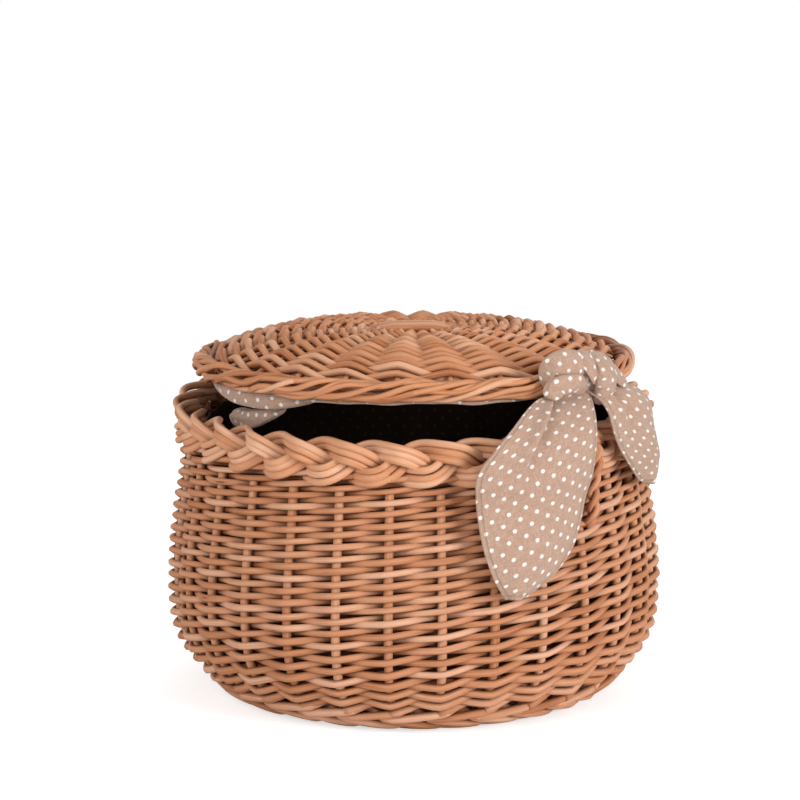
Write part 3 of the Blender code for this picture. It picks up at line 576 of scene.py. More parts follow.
rand_levels = round(2 * (WALL_LENGTH + RAND_PAST - RAND_START) / (ROW_PITCH_LOW + ROW_PITCH_HIGH))
t, level, wave = randing(STAKE_COUNT, rand_levels, RAND_BEND)
row_pitch = ROW_PITCH_LOW + (ROW_PITCH_HIGH - ROW_PITCH_LOW) * level / rand_levels
rand_length = RAND_START + (ROW_PITCH_LOW + row_pitch) / 2 * level
rand_length = rand_length + uneven(STAKE_COUNT, t * 1.1, RAND_WANDER, 22)
rand_size = ROD_SHARE * row_pitch * (1.0 + uneven(STAKE_COUNT, t * 0.35, 0.15, 21))
rand_size = rand_size * (1.0 + STOUTER * ramp(level, STOUT_ROWS, 0.0))
# Past the wall's top the rods go straight up and draw in under the border
over = np.maximum(rand_length - WALL_LENGTH, 0.0)
rand_stand = (STAKE_RADIUS + ROD_SHARE * row_pitch) * wave * np.clip(1.0 - over / RAND_TUCK, 0.5, 1.0)
rand_stand = rand_stand + uneven(STAKE_COUNT, t * 1.6, RAND_LOOSE, 23)
rand_lines, rand_out = on_wall(at_stake(t), rand_length, rand_stand)
rand_lines = rand_lines + UP * over[..., None]
# The rods get painted shade where they pass behind a stake
rand = rods("wall_weave_rods", rand_lines, rand_out, rand_size, sides=7, seed=24,
            pressed=np.clip(0.2 - wave, 0.0, 1.0))
dress(rand, weave_willow, "basket", "weave_willow", "rand_weave_low", "rand_weave_middle", "rand_weave_high")


# Plaited border
# The stake ends are laid down in threes and plaited round the rim: each group arches over the top, dives to
# the lower right in front of the next one and is tucked in behind it.
RIM_RADIUS = 0.1120
RIM_MIDDLE = 0.1360
RIM_RISE = 0.0063
RIM_FLAT = 1.3
RIM_DEPTH = 0.0050
RIM_PHASE = -0.15
RIM_ROD = 0.00185
RIM_SPACING = 0.0033
RIM_BOW = 0.0004
RIM_STEPS = 12

# The last number is how deep the painted shade on the sides of each rod is
border_willow = willow("border_willow", (0.78, 0.465, 0.305), (0.66, 0.318, 0.170), (0.42, 0.155, 0.065),
                       0.60)

# One strand of three rods abreast, closed after three laps: height follows a flattened sine of the phase and
# depth follows sin(2 phase)
t = np.arange(3 * STAKE_COUNT * RIM_STEPS)[None] / RIM_STEPS
phase = 2 * math.pi * (t + RIM_PHASE) / 3
abreast = np.arange(3)[:, None] - 1.0
rim_wave = np.tanh(RIM_FLAT * np.sin(phase)) / math.tanh(RIM_FLAT)
rim_centre = around(at_stake(t), RIM_RADIUS - RIM_DEPTH * np.sin(2 * phase), RIM_MIDDLE + RIM_RISE * rim_wave)
rim_out = around(at_stake(t), 1.0, 0.0)
rim_side = unit(np.cross(unit(np.roll(rim_centre, -1, axis=1) - np.roll(rim_centre, 1, axis=1)), rim_out))
rim_stand = uneven(3, t * 0.9, 0.0009, 31) + RIM_BOW * abreast ** 2
rim_shift = RIM_SPACING * abreast + uneven(3, t * 1.2, 0.0008, 32)
rim_lines = rim_centre + rim_side * rim_shift[..., None] + rim_out * rim_stand[..., None]
rim_size = RIM_ROD * (1.0 + uneven(3, t * 0.5, 0.15, 34))
rim = rods("plaited_border_rods", rim_lines, rim_out, rim_size, sides=STOUT_SIDES, closed=True,
           tone=rod_by_rod(3, t + 0.7, 33))
dress(rim, border_willow, "basket", "border_willow", "rim_border")


# Side loop
# A loop of two thin willow rods twisted together stands on the wall under the right tie, both ends pushed
# down into the weave, for the tie to be fastened to.
LOOP_RIGHT = 44.6
LOOP_LEFT = 33.0
LOOP_LOW = 0.1000
LOOP_HIGH = 0.1370
LOOP_CROWN = 0.0025
LOOP_LEG = 0.36
LOOP_ROD = 0.0017
LOOP_LAY = 0.0017
LOOP_OFF = 0.0098
LOOP_RIM_OFF = 0.0030
LOOP_RIM = (0.118, 0.130)
LOOP_DIVE = 0.007
LOOP_TURNS = 7.0

share = np.linspace(0.0, 1.0, 121)
bow = ramp(share, LOOP_LEG, 1.0 - LOOP_LEG)
leg = np.minimum(np.minimum(share, 1.0 - share) / LOOP_LEG, 1.0)
loop_degrees = (LOOP_RIGHT + LOOP_LEFT) / 2 + (LOOP_RIGHT - LOOP_LEFT) / 2 * np.cos(math.pi * bow)
loop_height = LOOP_LOW + (LOOP_HIGH - LOOP_LOW) * leg + LOOP_CROWN * np.sin(math.pi * bow)
loop_radius = wall_at(loop_height) + LOOP_OFF + LOOP_RIM_OFF * ramp(loop_height, *LOOP_RIM)
loop_radius = loop_radius - LOOP_DIVE * (1.0 - leg) ** 9
loop_centre = around(loop_degrees, loop_radius, loop_height)
loop_out = around(loop_degrees, 1.0, 0.0)
loop_side = np.cross(unit(np.gradient(loop_centre, axis=0)), loop_out)
twist = 2 * math.pi * (LOOP_TURNS * share + np.array([[0.0], [0.5]]))[..., None]
loop_lines = loop_centre + LOOP_LAY * (np.cos(twist) * loop_out + np.sin(twist) * loop_side)
side_loop = rods("side_loop_rods", loop_lines, loop_out, LOOP_ROD, seed=41)
dress(side_loop, border_willow, "basket", "border_willow", "side_loop")


# Lid slath and spokes
# Two flat bundles of six rods cross in the middle of the lid.  The bundle on top runs from side to side, and
# past the crossing the rods fan out into twenty-four spokes.
HINGE_BACK = 0.1130
HINGE_HEIGHT = 0.1505
LID_OPEN = 2.93
LID_RADIUS = 0.1045
LID_MIDDLE = 0.1580
LID_RISE = 0.0158
LID_TURN = 3.0
LID_STICKS = 6
STICK_PITCH = 0.0040
STICK_RADIUS = 0.0020
STICK_FLAT = 0.85
LID_BUNDLES = ((90.0 + LID_TURN, 0.0019), (LID_TURN, -0.0019))
SPOKE_END = 0.0985

# The last number is how deep the painted shade on the sides of each rod is
lid_willow = willow("lid_willow", (0.75, 0.42, 0.260), (0.61, 0.272, 0.134), (0.37, 0.124, 0.046), 0.54)


def lid_height(radius):
    """The dome of the shut lid: middle + rise (1 - (r / R) to the power of 3.4)."""
    return LID_MIDDLE + LID_RISE * (1.0 - (radius / LID_RADIUS) ** 3.4)


def open_lid(points):
    """Turns points of the shut lid about the hinge line to the pose in the photograph."""
    y, z = turned(points[..., 1] - HINGE_BACK, points[..., 2] - HINGE_HEIGHT, -LID_OPEN)
    return beside(points[..., 0], HINGE_BACK + y, HINGE_HEIGHT + z)


lid_lines, lid_size = slath(LID_STICKS, STICK_PITCH, STICK_RADIUS, SPOKE_END, lid_height, LID_BUNDLES)
lid_slath = rods("lid_slath_and_spokes", open_lid(lid_lines), UP, lid_size, sides=STOUT_SIDES,
                 flat=STICK_FLAT, seed=51)
dress(lid_slath, lid_willow, "lid", "lid_willow", "lid_sticks_upper", "lid_sticks_lower")


# Lid weave
# The lid is French randed too: each willow rod over one spoke and under the next, climbing outward one row
# for every spoke it passes, from the slath to the border.
LID_SPOKES = 4 * LID_STICKS
LID_SPOKE = 0.0014
LID_PITCH = 0.00315
LID_ROD = 0.00172
LID_ROD_SHOWN = 1.09 * LID_ROD
LID_WEAVE_START = 0.0195
LID_WEAVE_END = 0.0983

t, level, wave = randing(LID_SPOKES, int((LID_WEAVE_END - LID_WEAVE_START) / LID_PITCH), DISC_BEND)
lid_reach = LID_WEAVE_START + LID_PITCH * level + uneven(LID_SPOKES, t * 1.2, 0.0005, 61)
slim = np.clip(0.45 + lid_reach / 0.11, 0.6, 1.0)
lid_azimuth = LID_TURN + 360.0 / LID_SPOKES * (t + 0.5)
lid_rise = slim * (LID_SPOKE + LID_ROD) * wave + uneven(LID_SPOKES, t * 1.5, 0.0004, 62)
lid_lines = open_lid(around(lid_azimuth, lid_reach, lid_height(lid_reach) + lid_rise))
lid_size = LID_ROD_SHOWN * slim * (1.0 + uneven(LID_SPOKES, t * 0.4, 0.16, 63))
lid_weave = rods("lid_weave_rods", lid_lines, UP, lid_size, seed=64)
dress(lid_weave, lid_willow, "lid", "lid_willow", "lid_weaver_first", "lid_weaver_second")


# Lid border
# The spoke ends are bent down and wrapped round the edge with long thin willow rods, laid like a loose rope
# of nine, which is fuller at two places behind.
BORDER_RODS = 9
BORDER_TWISTS = 6
BORDER_LAY = 0.0041
BORDER_ROD = 0.00146
BORDER_RADIUS = 0.1043
BORDER_POINTS = 900
BORDER_FULLER = 0.0018

turn = np.linspace(0.0, 1.0, BORDER_POINTS, endpoint=False)[None]
strand = np.arange(BORDER_RODS)[:, None]
there_and_back = np.abs(turn - 0.5)
wander = uneven(BORDER_RODS, there_and_back * 75.0, 0.75, 71)
phase = -2 * math.pi * (BORDER_TWISTS * turn + strand / BORDER_RODS) + wander
lay = BORDER_LAY * (1.0 - 0.16 * (strand % 3 == 1)) + uneven(BORDER_RODS, there_and_back * 90.0, 0.0008, 72)
fuller = np.exp(-(((turn - 0.33) / 0.12) ** 2)) + 0.5 * np.exp(-(((turn - 0.62) / 0.10) ** 2))
border_lines = around(360.0 * turn, BORDER_RADIUS + lay * np.cos(phase),
                      LID_MIDDLE - lay * np.sin(phase) + BORDER_FULLER * fuller)
border_size = BORDER_ROD * (1.0 + uneven(BORDER_RODS, there_and_back * 60.0, 0.18, 73))
lid_border = rods("lid_border_rods", open_lid(border_lines), around(360.0 * turn, 1.0, 0.0), border_size,
                  closed=True, seed=74)
dress(lid_border, lid_willow, "lid", "lid_willow", "lid_border")


# Lining of the lid
# The linings and ties are one cloth: a plain-weave cotton of a warm linen colour, printed with small white
# dots in a staggered grid.  The lid's lining is a disc sewn to the weave, its edge turned under the border.
DOT_PITCH = 0.0086
DOT_RADIUS = 0.00102
DOT_EDGE = 0.02
THREAD = 0.00045
CLOTH = 0.0009
COTTON_BUMP = 0.00010
COTTON_DARK = (0.42, 0.255, 0.180)
COTTON_PALE = (0.57, 0.380, 0.283)
COTTON_DRIFT = (0.455, 0.282, 0.200)
STITCH_AND_EDGE_SHADE_BROWN = (0.24, 0.125, 0.075)
DOT_WHITE = (0.92, 0.88, 0.85)
LINING_COLUMNS = 180
LINING_ROWS = 40
LINING_MIDDLE = 0.0006
LINING_HEM = 0.0925
LINING_EDGE = 0.1022
LINING_DROP = 0.0052
LINING_SAG = 0.0012
LINING_EDGE_DROP = 0.0064
LINING_RIPPLE = 0.0004


def spotted_cotton(name, shade=1.0, under=(0.014, 0.007, 0.004)):
    """Plain-weave cotton with a staggered dot print; UV is metres on the cloth, and a low shade gives way to
    under as painted shade, its reflection and sheen fading with it.

    A dot is where the distance to the nearest point of two square grids, half a pitch apart, is under its
    radius.  The threads are sin(u) sin(v), with slubs along them, and the attribute hem runs from 0 in the
    cloth to 1 at its edge, with the stitching at 0.62.  The stitching is darker, and the last tenth of hem
    is darkened as painted shade where the hem turns under.
    """
    paint = Paint(name)
    uv = paint.node("ShaderNodeUVMap", uv_map="UVMap")
    u, v, _ = paint.axes(uv)
    distance = []
    for shift in (200.0, 200.5):
        along = paint.sum("FRACT", u / DOT_PITCH + shift) - 0.5
        across = paint.sum("FRACT", v / DOT_PITCH + shift) - 0.5
        distance.append(paint.sum("SQRT", along * along + across * across))
    nearest = paint.sum("MINIMUM", *distance) + (paint.noise(uv, 2600.0) - 0.5) * 0.05
    dot = 1.0 - paint.between(nearest, DOT_RADIUS / DOT_PITCH - DOT_EDGE, DOT_RADIUS / DOT_PITCH + DOT_EDGE)
    threads = paint.sum("SINE", u * (2 * math.pi / THREAD)) * paint.sum("SINE", v * (2 * math.pi / THREAD))
    slub = paint.noise(paint.vector(u * 260.0, v * 1500.0, 0.0), 1.0)
    slub_across = paint.noise(paint.vector(u * 1500.0, v * 260.0, 4.0), 1.0)
    cloth = paint.mix(paint.between(slub * 0.5 + slub_across * 0.5 + threads * 0.04, 0.30, 0.70),
                      COTTON_DARK, COTTON_PALE)
    cloth = paint.mix(paint.between(paint.noise(uv, 45.0), 0.35, 0.75) * 0.25, cloth, COTTON_DRIFT)
    cloth = paint.mix(dot * 0.93, cloth, DOT_WHITE)
    hem = paint.node("ShaderNodeAttribute", "Fac", attribute_name="hem")
    stitch = paint.between(paint.sum("ABSOLUTE", hem - 0.62), 0.10, 0.04)
    # Darker stitching, and painted shade along the very edge of the cloth
    cloth = paint.mix(stitch * 0.26 + paint.between(hem, 0.90, 1.0) * 0.25, cloth, STITCH_AND_EDGE_SHADE_BROWN)
    # A low shade is painted shade: the cloth gives way to under, and its reflection and sheen fade with it
    cloth = paint.mix(1.0 - shade, cloth, under)
    height = threads * 0.5 + (slub + slub_across) * 0.9 + dot * 0.3 - stitch * 4.0
    return paint.finish({"Base Color": cloth, "Roughness": 0.86, "Specular IOR Level": 0.4 * shade,
                         "Sheen Weight": 0.25 * shade, "Sheen Roughness": 0.5}, height, COTTON_BUMP)


def full_turn(columns):
    """Azimuths of a sheet's columns all the way round, and the same with the first one again, at 360."""
    degrees = np.arange(columns + 1)[None] * 360.0 / columns
    return degrees[:, :-1], degrees


def cloth_sheet(name, grid, uv, wrapped=False, hem=0.0):
    """A sheet through a grid of rows x columns x 3, thickened to both sides and closed round its edges.

    A wrapped sheet's last column joins its first, and its uv has one column more.
    """
    wide = np.concatenate([grid[:, -1:], grid, grid[:, :1]], axis=1) if wrapped else grid
    across = np.gradient(wide, axis=1)
    normal = unit(np.cross(np.gradient(grid, axis=0), across[:, 1:-1] if wrapped else across))
    rows, columns = grid.shape[:2]
    corner = np.arange(rows * columns).reshape(rows, columns)
    if wrapped:
        corner = np.concatenate([corner, corner[:, :1]], axis=1)

    def faces(index, behind):
        """The front, the back and the edges of a grid of numbers, with behind added for the back's."""
        front = beside(index[:-1, :-1], index[1:, :-1], index[1:, 1:], index[:-1, 1:]).reshape(-1, 4)
        runs = [index[0], index[-1, ::-1]] + ([] if wrapped else [index[::-1, 0], index[:, -1]])
        edges = [beside(run[:-1], run[1:], run[1:] + behind, run[:-1] + behind) for run in runs]
        return np.concatenate([front, front[:, ::-1] + behind, *edges])

    print_at = faces(np.arange(corner.size).reshape(corner.shape), 0)
    return mesh_piece(name, np.stack([grid + normal * CLOTH / 2, grid - normal * CLOTH / 2]),
                      [faces(corner, rows * columns)], uv.reshape(-1, 2)[print_at],
                      hem=np.tile(np.broadcast_to(hem, (rows, columns)).ravel(), 2))


lining_cotton = spotted_cotton("lining_cotton")
degrees, closing = full_turn(LINING_COLUMNS)
reach = np.linspace(LINING_MIDDLE, LINING_EDGE, LINING_ROWS)[:, None]
under = lid_height(reach) - LINING_DROP - LINING_SAG * ramp(reach, 0.03, 0.0)
hem = ramp(reach, LINING_HEM, LINING_EDGE) ** 1.5
under = under * (1 - hem) + (LID_MIDDLE - LINING_EDGE_DROP) * hem
angle = np.radians(degrees)
ripple = np.sin(9 * angle + 1.3) + 0.7 * np.sin(17 * angle) + 0.5 * np.sin(31 * angle + 2.0)
ripple = ripple * LINING_RIPPLE * ramp(reach, 0.03, 0.08)
lining_grid = open_lid(around(degrees, reach, under + ripple))
lid_lining = cloth_sheet("lid_lining_cloth", lining_grid, around(closing, reach, 0.0)[..., :2], wrapped=True)
dress(lid_lining, lining_cotton, "lid", "lining_cotton", "lid_lining")


# Lining of the basket
# A bag of the same cotton lies against the inside of the wall, gathered a little, with its hem just under the
# border; its floor is a separate disc.  Its inside is painted nearly black and its outside warm brown, both
# as painted shade.
BAG_COLUMNS = 232
BAG_ROWS = 34
BAG_START = 0.016
BAG_PAST = 0.0125
BAG_IN = 0.0083
BAG_GATHER = 0.0009
BAG_LOWEST = 0.0118
BAG_ROUND = 0.686
BAG_BACK_SHADE_BROWN = (0.15, 0.058, 0.024)
DISC_COLUMNS = 96
DISC_ROWS = 26
DISC_RADIUS = 0.089
DISC_HEIGHT = 0.0116
DISC_RIPPLE = 0.0004

# Both sides of the bag are painted shade: near black inside, warm brown towards the wall
bag_cotton = spotted_cotton("bag_cotton", 0.03)
bag_back = spotted_cotton("bag_back", 0.06, BAG_BACK_SHADE_BROWN)
degrees, closing = full_turn(BAG_COLUMNS)
angle = np.radians(degrees)
bag_length = np.linspace(BAG_START, WALL_LENGTH + BAG_PAST, BAG_ROWS)[:, None]
gather = 0.5 * np.sin(29 * angle + 0.8) + 0.6 * np.sin(13 * angle + 2.0 * bag_length / WALL_LENGTH)
gather = (gather + 0.3 * np.sin(47 * angle)) * BAG_GATHER * np.clip(bag_length / 0.05, 0.2, 1.0)
bag_grid, _ = on_wall(degrees, np.minimum(bag_length, WALL_LENGTH), gather - BAG_IN)
bag_grid = bag_grid + UP * np.maximum(bag_length - WALL_LENGTH, 0.0)[..., None]
bag_grid[..., 2] = np.maximum(bag_grid[..., 2], BAG_LOWEST)
bag_uv = beside(closing / 360.0 * BAG_ROUND, bag_length)
bag = cloth_sheet("basket_lining_cloth", bag_grid[::-1], bag_uv[::-1], wrapped=True)
dress(bag, bag_cotton, "basket", "lining_cotton", "basket_liner")
bag.data.materials.append(bag_back)
# Faces towards the wall take the brown painted shade, the others the near-black painted shade
bag_face = np.empty((2, len(bag.data.polygons) * 3))
bag.data.polygons.foreach_get("center", bag_face[0])
bag.data.polygons.foreach_get("normal", bag_face[1])
to_wall = bag_face.prod(axis=0).reshape(-1, 3)[:, :2].sum(axis=1) > 0
bag.data.polygons.foreach_set("material_index", to_wall.astype(np.int32))

degrees, closing = full_turn(DISC_COLUMNS)
reach = np.linspace(LINING_MIDDLE, DISC_RADIUS, DISC_ROWS)[:, None]
disc_height = DISC_HEIGHT + DISC_RIPPLE * np.sin(60.0 * reach + 3 * np.radians(degrees))
bag_floor = cloth_sheet("basket_lining_floor", around(degrees, reach, disc_height),
                        around(closing, reach, 0.0)[..., :2], wrapped=True)
dress(bag_floor, bag_cotton, "basket", "lining_cotton")


# Hinge rings
# Two rings of split cane hold the back of the lid border to the top of the plait.  Each is bent round both
# and closed on itself, and the model's own rings are kept.
CANE_PALE = (0.70, 0.46, 0.25)
CANE_DEEP = (0.50, 0.27, 0.12)
CANE_BUMP = 0.00015

cane = Paint("split_cane")
cane_x, cane_y, cane_z = cane.axes(cane.node("ShaderNodeTexCoord", "Object"))
cane_grain = cane.noise(cane.vector(cane_x * 4200.0, cane_y * 300.0, cane_z * 300.0), 1.0, 3.0)
cane_tone = cane.mix(cane.between(cane_grain, 0.3, 0.75), CANE_PALE, CANE_DEEP)
split_cane = cane.finish({"Base Color": cane_tone, "Roughness": 0.36 + 0.2 * cane_grain}, cane_grain,
                         CANE_BUMP)
for name in ("hinge_ring_left", "hinge_ring_right"):
    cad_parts[name].data.materials.clear()
    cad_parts[name].data.materials.append(split_cane)


# Right tie: tails
# The tie is a strip of the spotted cotton knotted round the lid border.  Its front tail hangs down over the
# border of the basket and widens before it comes to a point; the shorter tail hangs to the right.
# Azimuths of each tail's two edges, at heights given as shares from its tip, 0, to its top, 1
FRONT_LEFT = (30.5, 25.0, 18.0, 13.7, 12.7, 13.2, 13.9, 14.9, 16.6, 19.0)
FRONT_RIGHT = (47.0, 44.2, 41.8, 41.4, 41.2, 40.5, 38.6, 36.2, 31.0, 23.4)
FRONT_SHARES = (1.0, 0.95, 0.82, 0.69, 0.615, 0.50, 0.36, 0.233, 0.106, 0.0)
SIDE_LEFT = (44.0, 45.4, 46.8, 48.7, 51.3, 55.2, 60.5, 65.0)
SIDE_RIGHT = (58.0, 61.5, 65.0, 66.8, 69.6, 72.4, 72.8, 66.8)
SIDE_SHARES = (1.0, 0.93, 0.73, 0.555, 0.40, 0.244, 0.089, 0.0)
TAIL_ROWS = 110
TAIL_COLUMNS = 90
TAIL_SMOOTHING = 9
TAIL_HEM = 0.006
TAIL_WAVE = 0.0009
FOLDS_END = 0.55
WALL_OUT = 0.0064
BORDER_OUT = 0.1206
BORDER_LOW = (0.114, 0.129)


def outside(height):
    """Radius of the outer face of the wall, or of the border above it, at a height."""
    wall = wall_at(height) + WALL_OUT
    return wall + (BORDER_OUT - wall) * soft_ramp(height, *BORDER_LOW)


def hanging_tail(left, right, shares, top, tip, head, stand, crown, folds, depth, begin, crease, deep):
    """Grid, UV and hem of a tail between two edges given by azimuth and height, v from its top to its tip.

    The radius is head at the top and the wall's and stand below, with a crown across the middle, folds that
    fan out from the knot and fade, depth (1 - v / 0.55)^1.3 cos(folds pi u + begin), and one crease along
    u = crease + 0.1 v of depth deep, with a ridge to its left and an easy slope to its right.
    """
    v = np.linspace(0.0, 1.0, TAIL_ROWS)
    order = np.linspace(0.0, 1.0, len(shares))
    height = eased(tip + (top - tip) * np.interp(v, order, shares), TAIL_SMOOTHING)[:, None]
    first = eased(np.interp(v, order, left), TAIL_SMOOTHING)[:, None]
    second = eased(np.interp(v, order, right), TAIL_SMOOTHING)[:, None]
    u = np.linspace(0.0, 1.0, TAIL_COLUMNS)[None]
    v = v[:, None]
    close = ramp(v, FOLDS_END, 0.0) ** 1.3
    valley = u - crease - 0.10 * v
    ridge = 0.5 * np.exp(-(((valley + 0.085) / 0.05) ** 2)) * np.clip(v * 8.0, 0.0, 1.0)
    ridge = ridge - np.exp(-(valley / np.where(valley < 0, 0.035, 0.17)) ** 2)
    fold = close * (depth * np.cos(folds * math.pi * u + begin) + deep * ridge)
    fold = fold + TAIL_WAVE * np.sin(5.0 * v + 2.4 * math.pi * u) * np.clip(v * 3.0, 0.0, 1.0)
    bulge = crown * np.sin(math.pi * u) * np.clip(v * 4.0, 0.0, 1.0)
    radius = head + (outside(height) + stand - head) * soft_ramp(v, 0.0, 0.26) + bulge + fold
    grid = around(first + (second - first) * u, radius, height)
    across = travelled(grid, 1)
    near = np.minimum(across, across[:, -1:] - across)
    across = across - across[:, TAIL_COLUMNS // 2, None]
    down = travelled(grid[:, TAIL_COLUMNS // 2], 0)[:, None]
    near = np.minimum(near, down[-1] - down)
    return grid, beside(across, down), ramp(near, TAIL_HEM, 0.0)


def slanted(uv, degrees):
    """UV turned, so that the print runs at a slant to the piece as the tie was cut."""
    return beside(*turned(uv[..., 0], uv[..., 1], degrees))


tie_cotton = spotted_cotton("tie_cotton")
front_grid, front_uv, front_hem = hanging_tail(
    FRONT_LEFT, FRONT_RIGHT, FRONT_SHARES, top=0.1645, tip=0.0741, head=0.1155, stand=0.0085, crown=0.0035,
    folds=4.0, depth=0.0018, begin=0.9, crease=0.36, deep=0.0110)
front_tail = cloth_sheet("right_tie_front_tail_cloth", front_grid, slanted(front_uv, 22.0), hem=front_hem)
dress(front_tail, tie_cotton, "lid", "tie_cotton", "right_tie_front_tail")
side_grid, side_uv, side_hem = hanging_tail(
    SIDE_LEFT, SIDE_RIGHT, SIDE_SHARES, top=0.1665, tip=0.1137, head=0.1150, stand=0.0060, crown=0.0030,
    folds=3.0, depth=0.0012, begin=0.3, crease=0.30, deep=0.0070)
side_tail = cloth_sheet("right_tie_side_tail_cloth", side_grid, slanted(side_uv, -8.0), hem=side_hem)
dress(side_tail, tie_cotton, "lid", "tie_cotton", "right_tie_side_tail")


# Right tie: knot
# The strip goes round the lid border and is tied once: a broad band comes over from the left, the front tail
# is tucked up behind it, a narrow fold crosses the middle, and the strip turns down to the right.
TIE_DEGREES = 46.0
TIE_AT = (0.0752, -0.0720, 0.1675)
KNOT_CORE = (-3.0, -3.0, 2.0)
ROLL_ROWS = 61
ROLL_SIDES = 40
# Each roll is a row of points, in millimetres along the border, out from it and up, with its half width there
KNOT_HEART = ((-17.0, 5.0, 3.0, 5.5), (-8.0, 8.0, 4.0, 8.0), (2.0, 8.5, 4.0, 8.5), (10.0, 6.0, 1.0, 6.5))
KNOT_BAND = ((-1.1, 13.5, 7.8, 3.0), (-9.0, 15.0, 12.4, 5.6), (-16.9, 14.0, 14.3, 6.2),
             (-22.9, 11.5, 14.1, 5.8), (-25.9, 8.5, 11.6, 4.8), (-25.7, 6.5, 7.5, 4.0),
             (-23.1, 5.5, 3.2, 3.2), (-20.4, 6.0, -0.2, 2.2))
KNOT_PUFF = ((-0.4, 14.0, 3.4, 1.2), (-7.7, 15.0, 4.1, 3.6), (-14.9, 14.5, 4.6, 5.2), (-19.8, 12.5, 4.3, 5.8),
             (-23.0, 11.0, 2.3, 5.4), (-25.1, 10.5, -0.7, 4.6), (-27.2, 11.0, -3.0, 4.0))
KNOT_LOBE = ((0.0, 11.0, 15.0, 3.6), (3.6, 13.6, 11.3, 7.2), (6.6, 15.4, 5.8, 10.0), (7.6, 15.6, 0.4, 10.6),
             (6.6, 14.2, -4.6, 9.2), (4.4, 11.5, -9.4, 6.0))
KNOT_SHOULDER = ((-1.6, 9.0, 15.4, 2.0), (5.3, 11.0, 12.5, 4.6), (14.3, 11.5, 6.8, 6.0),
                 (22.5, 11.0, 0.4, 6.6), (27.6, 11.0, -5.9, 6.0))
KNOT_FOLD = ((-8.4, 10.5, 17.4, 3.6), (-8.2, 15.5, 14.9, 4.0), (-7.2, 18.4, 10.9, 3.7),
             (-4.8, 18.6, 6.4, 2.9), (-1.2, 16.6, 1.2, 1.3))
WRAP_ALONG = -6.0
WRAP_SLANT = 5.0
WRAP_OUT = -0.6
WRAP_REACH = 7.3
WRAP_WIDE = 7.5


def by_the_tie(places):
    """Millimetres along, out from and above the border at the tie, as points in metres."""
    along, out, up = 0.001 * np.array(places).T
    return TIE_AT + beside(*turned(along, -out, TIE_DEGREES), up)


def cloth_roll(name, line, wide, core, flat, turn, seed, folds):
    """A strip of cloth folded to a soft, flat roll along a smoothed line, its broad side away from core.

    Each section is an ellipse of half width wide, in millimetres, with long folds along it, whose scale is
    1 + folds (sin(4a + 5s + seed) + 0.6 sin(7a - 3s + 2 seed) + 0.5 sin(11s + seed)).
    """
    share = np.linspace(0.0, 1.0, ROLL_ROWS)
    places = np.linspace(0.0, 1.0, len(line))
    path = beside(*[eased(np.interp(share, places, values), TAIL_SMOOTHING) for values in line.T])
    size = eased(np.interp(share, places, 0.001 * wide), TAIL_SMOOTHING)
    size = size * np.maximum(1.0 - np.abs(2 * share - 1) ** 9, 0.04) ** 0.5
    piece = rods(name, path[None], (path - core)[None], size[None], sides=ROLL_SIDES, flat=flat, seed=seed)
    mesh = piece.data
    points = np.empty(len(mesh.vertices) * 3)
    mesh.vertices.foreach_get("co", points)
    points = points.reshape(ROLL_ROWS, ROLL_SIDES, 3)
    a = (math.pi + 2 * math.pi * np.arange(ROLL_SIDES) / ROLL_SIDES)[None]
    s = share[:, None]
    ripple = np.sin(4 * a + 5 * s + seed) + 0.6 * np.sin(7 * a - 3 * s + 2 * seed)
    ripple = ripple + 0.5 * np.sin(11 * s + seed)
    points = path[:, None] + (points - path[:, None]) * (1.0 + folds * ripple)[..., None]
    mesh.vertices.foreach_set("co", points.ravel())
    # The print is laid out by true lengths down the middle of the broad side and round each ring
    middle = ROLL_SIDES // 2
    face = travelled(points[:, middle], 0)
    ring = travelled(np.concatenate([points, points[:, :1]], axis=1), 1)
    ring = ring - ring[:, middle, None]
    uv = np.empty(len(mesh.loops) * 2)
    mesh.uv_layers["UVMap"].data.foreach_get("uv", uv)
    uv = uv.reshape(-1, 2)
    at = np.interp(uv[:, 0], travelled(path, 0), np.arange(ROLL_ROWS)).round().astype(int)
    round_at = np.clip((uv[:, 1] * ROLL_SIDES).round().astype(int), 0, ROLL_SIDES)
    uv = beside(face[at], ring[at, round_at])
    mesh.uv_layers["UVMap"].data.foreach_set("uv", slanted(uv, turn).ravel())
    mesh.update()
    return piece


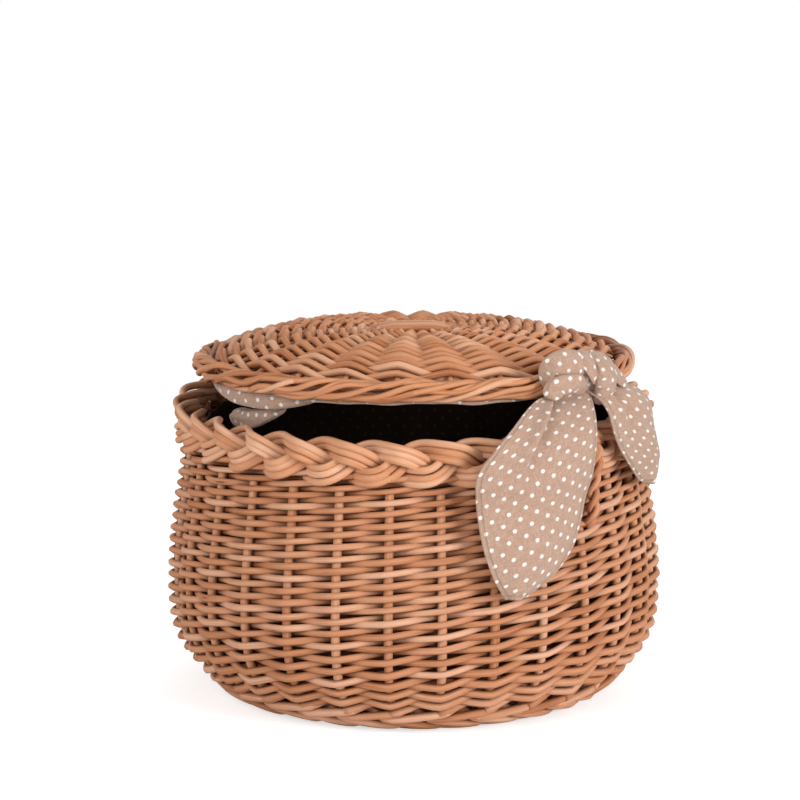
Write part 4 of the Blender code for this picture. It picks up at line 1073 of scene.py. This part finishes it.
wrap_turn = np.linspace(0.0, 2 * math.pi, 37)
knot_wrap = beside(WRAP_ALONG + WRAP_SLANT * np.sin(wrap_turn), WRAP_OUT + WRAP_REACH * np.cos(wrap_turn),
                   WRAP_REACH * np.sin(wrap_turn), WRAP_WIDE)
for name, places, core, flat, turn, seed, folds, replaced in (
        ("right_tie_core", KNOT_HEART, (-3.0, -6.0, 2.0), 0.70, 15.0, 7, 0.04, ["right_tie_knot"]),
        ("right_tie_wrap", knot_wrap, (WRAP_ALONG, 0.0, 0.0), 0.16, 0.0, 1, 0.03, []),
        ("right_tie_band", KNOT_BAND, KNOT_CORE, 0.42, 3.0, 2, 0.04, []),
        ("right_tie_puff", KNOT_PUFF, KNOT_CORE, 0.45, 40.0, 3, 0.05, []),
        ("right_tie_lobe", KNOT_LOBE, KNOT_CORE, 0.50, 12.0, 4, 0.04, []),
        ("right_tie_shoulder", KNOT_SHOULDER, KNOT_CORE, 0.35, -20.0, 5, 0.05, []),
        ("right_tie_fold", KNOT_FOLD, KNOT_CORE, 0.40, 25.0, 6, 0.04, [])):
    places = np.array(places)
    path = by_the_tie(places[:, :3])
    piece = cloth_roll(name, path, places[:, 3], by_the_tie(core), flat, turn, seed, folds)
    dress(piece, tie_cotton, "lid", "tie_cotton", *replaced)


# Left tie
# The left tie isn't tied: it is pushed in under the lid, so that a soft roll sags below the border and its
# bunched end lies on the lining's edge.
# Each roll is a row of points by azimuth, and by radius and height in millimetres, with its half width there
LEFT_ROLL = ((-71.0, 103.0, 160.6, 1.6), (-65.0, 102.0, 159.2, 3.2), (-56.9, 101.0, 157.8, 4.4),
             (-45.9, 99.0, 158.1, 4.5), (-37.1, 96.0, 159.6, 3.9), (-29.2, 93.0, 161.0, 2.2))
LEFT_BUNCH = ((-68.0, 95.0, 143.4, 3.4), (-62.5, 95.0, 144.4, 5.0), (-56.0, 95.0, 145.4, 4.8),
              (-49.0, 94.5, 149.2, 3.4), (-41.0, 93.0, 154.0, 1.8))
LEFT_CORE = np.array([-0.04, 0.0, 0.13])
LEFT_FLAT = 0.8
LEFT_FOLDS = 0.08

for name, places, turn, seed, node in (("left_tie_roll_cloth", LEFT_ROLL, 10.0, 19, "left_tie_roll"),
                                       ("left_tie_bunch_cloth", LEFT_BUNCH, 35.0, 20, "left_tie_knot")):
    places = np.array(places)
    left_line = around(places[:, 0], 0.001 * places[:, 1], 0.001 * places[:, 2])
    piece = cloth_roll(name, left_line, places[:, 3], LEFT_CORE, LEFT_FLAT, turn, seed, LEFT_FOLDS)
    dress(piece, tie_cotton, "lid", "tie_cotton", node)
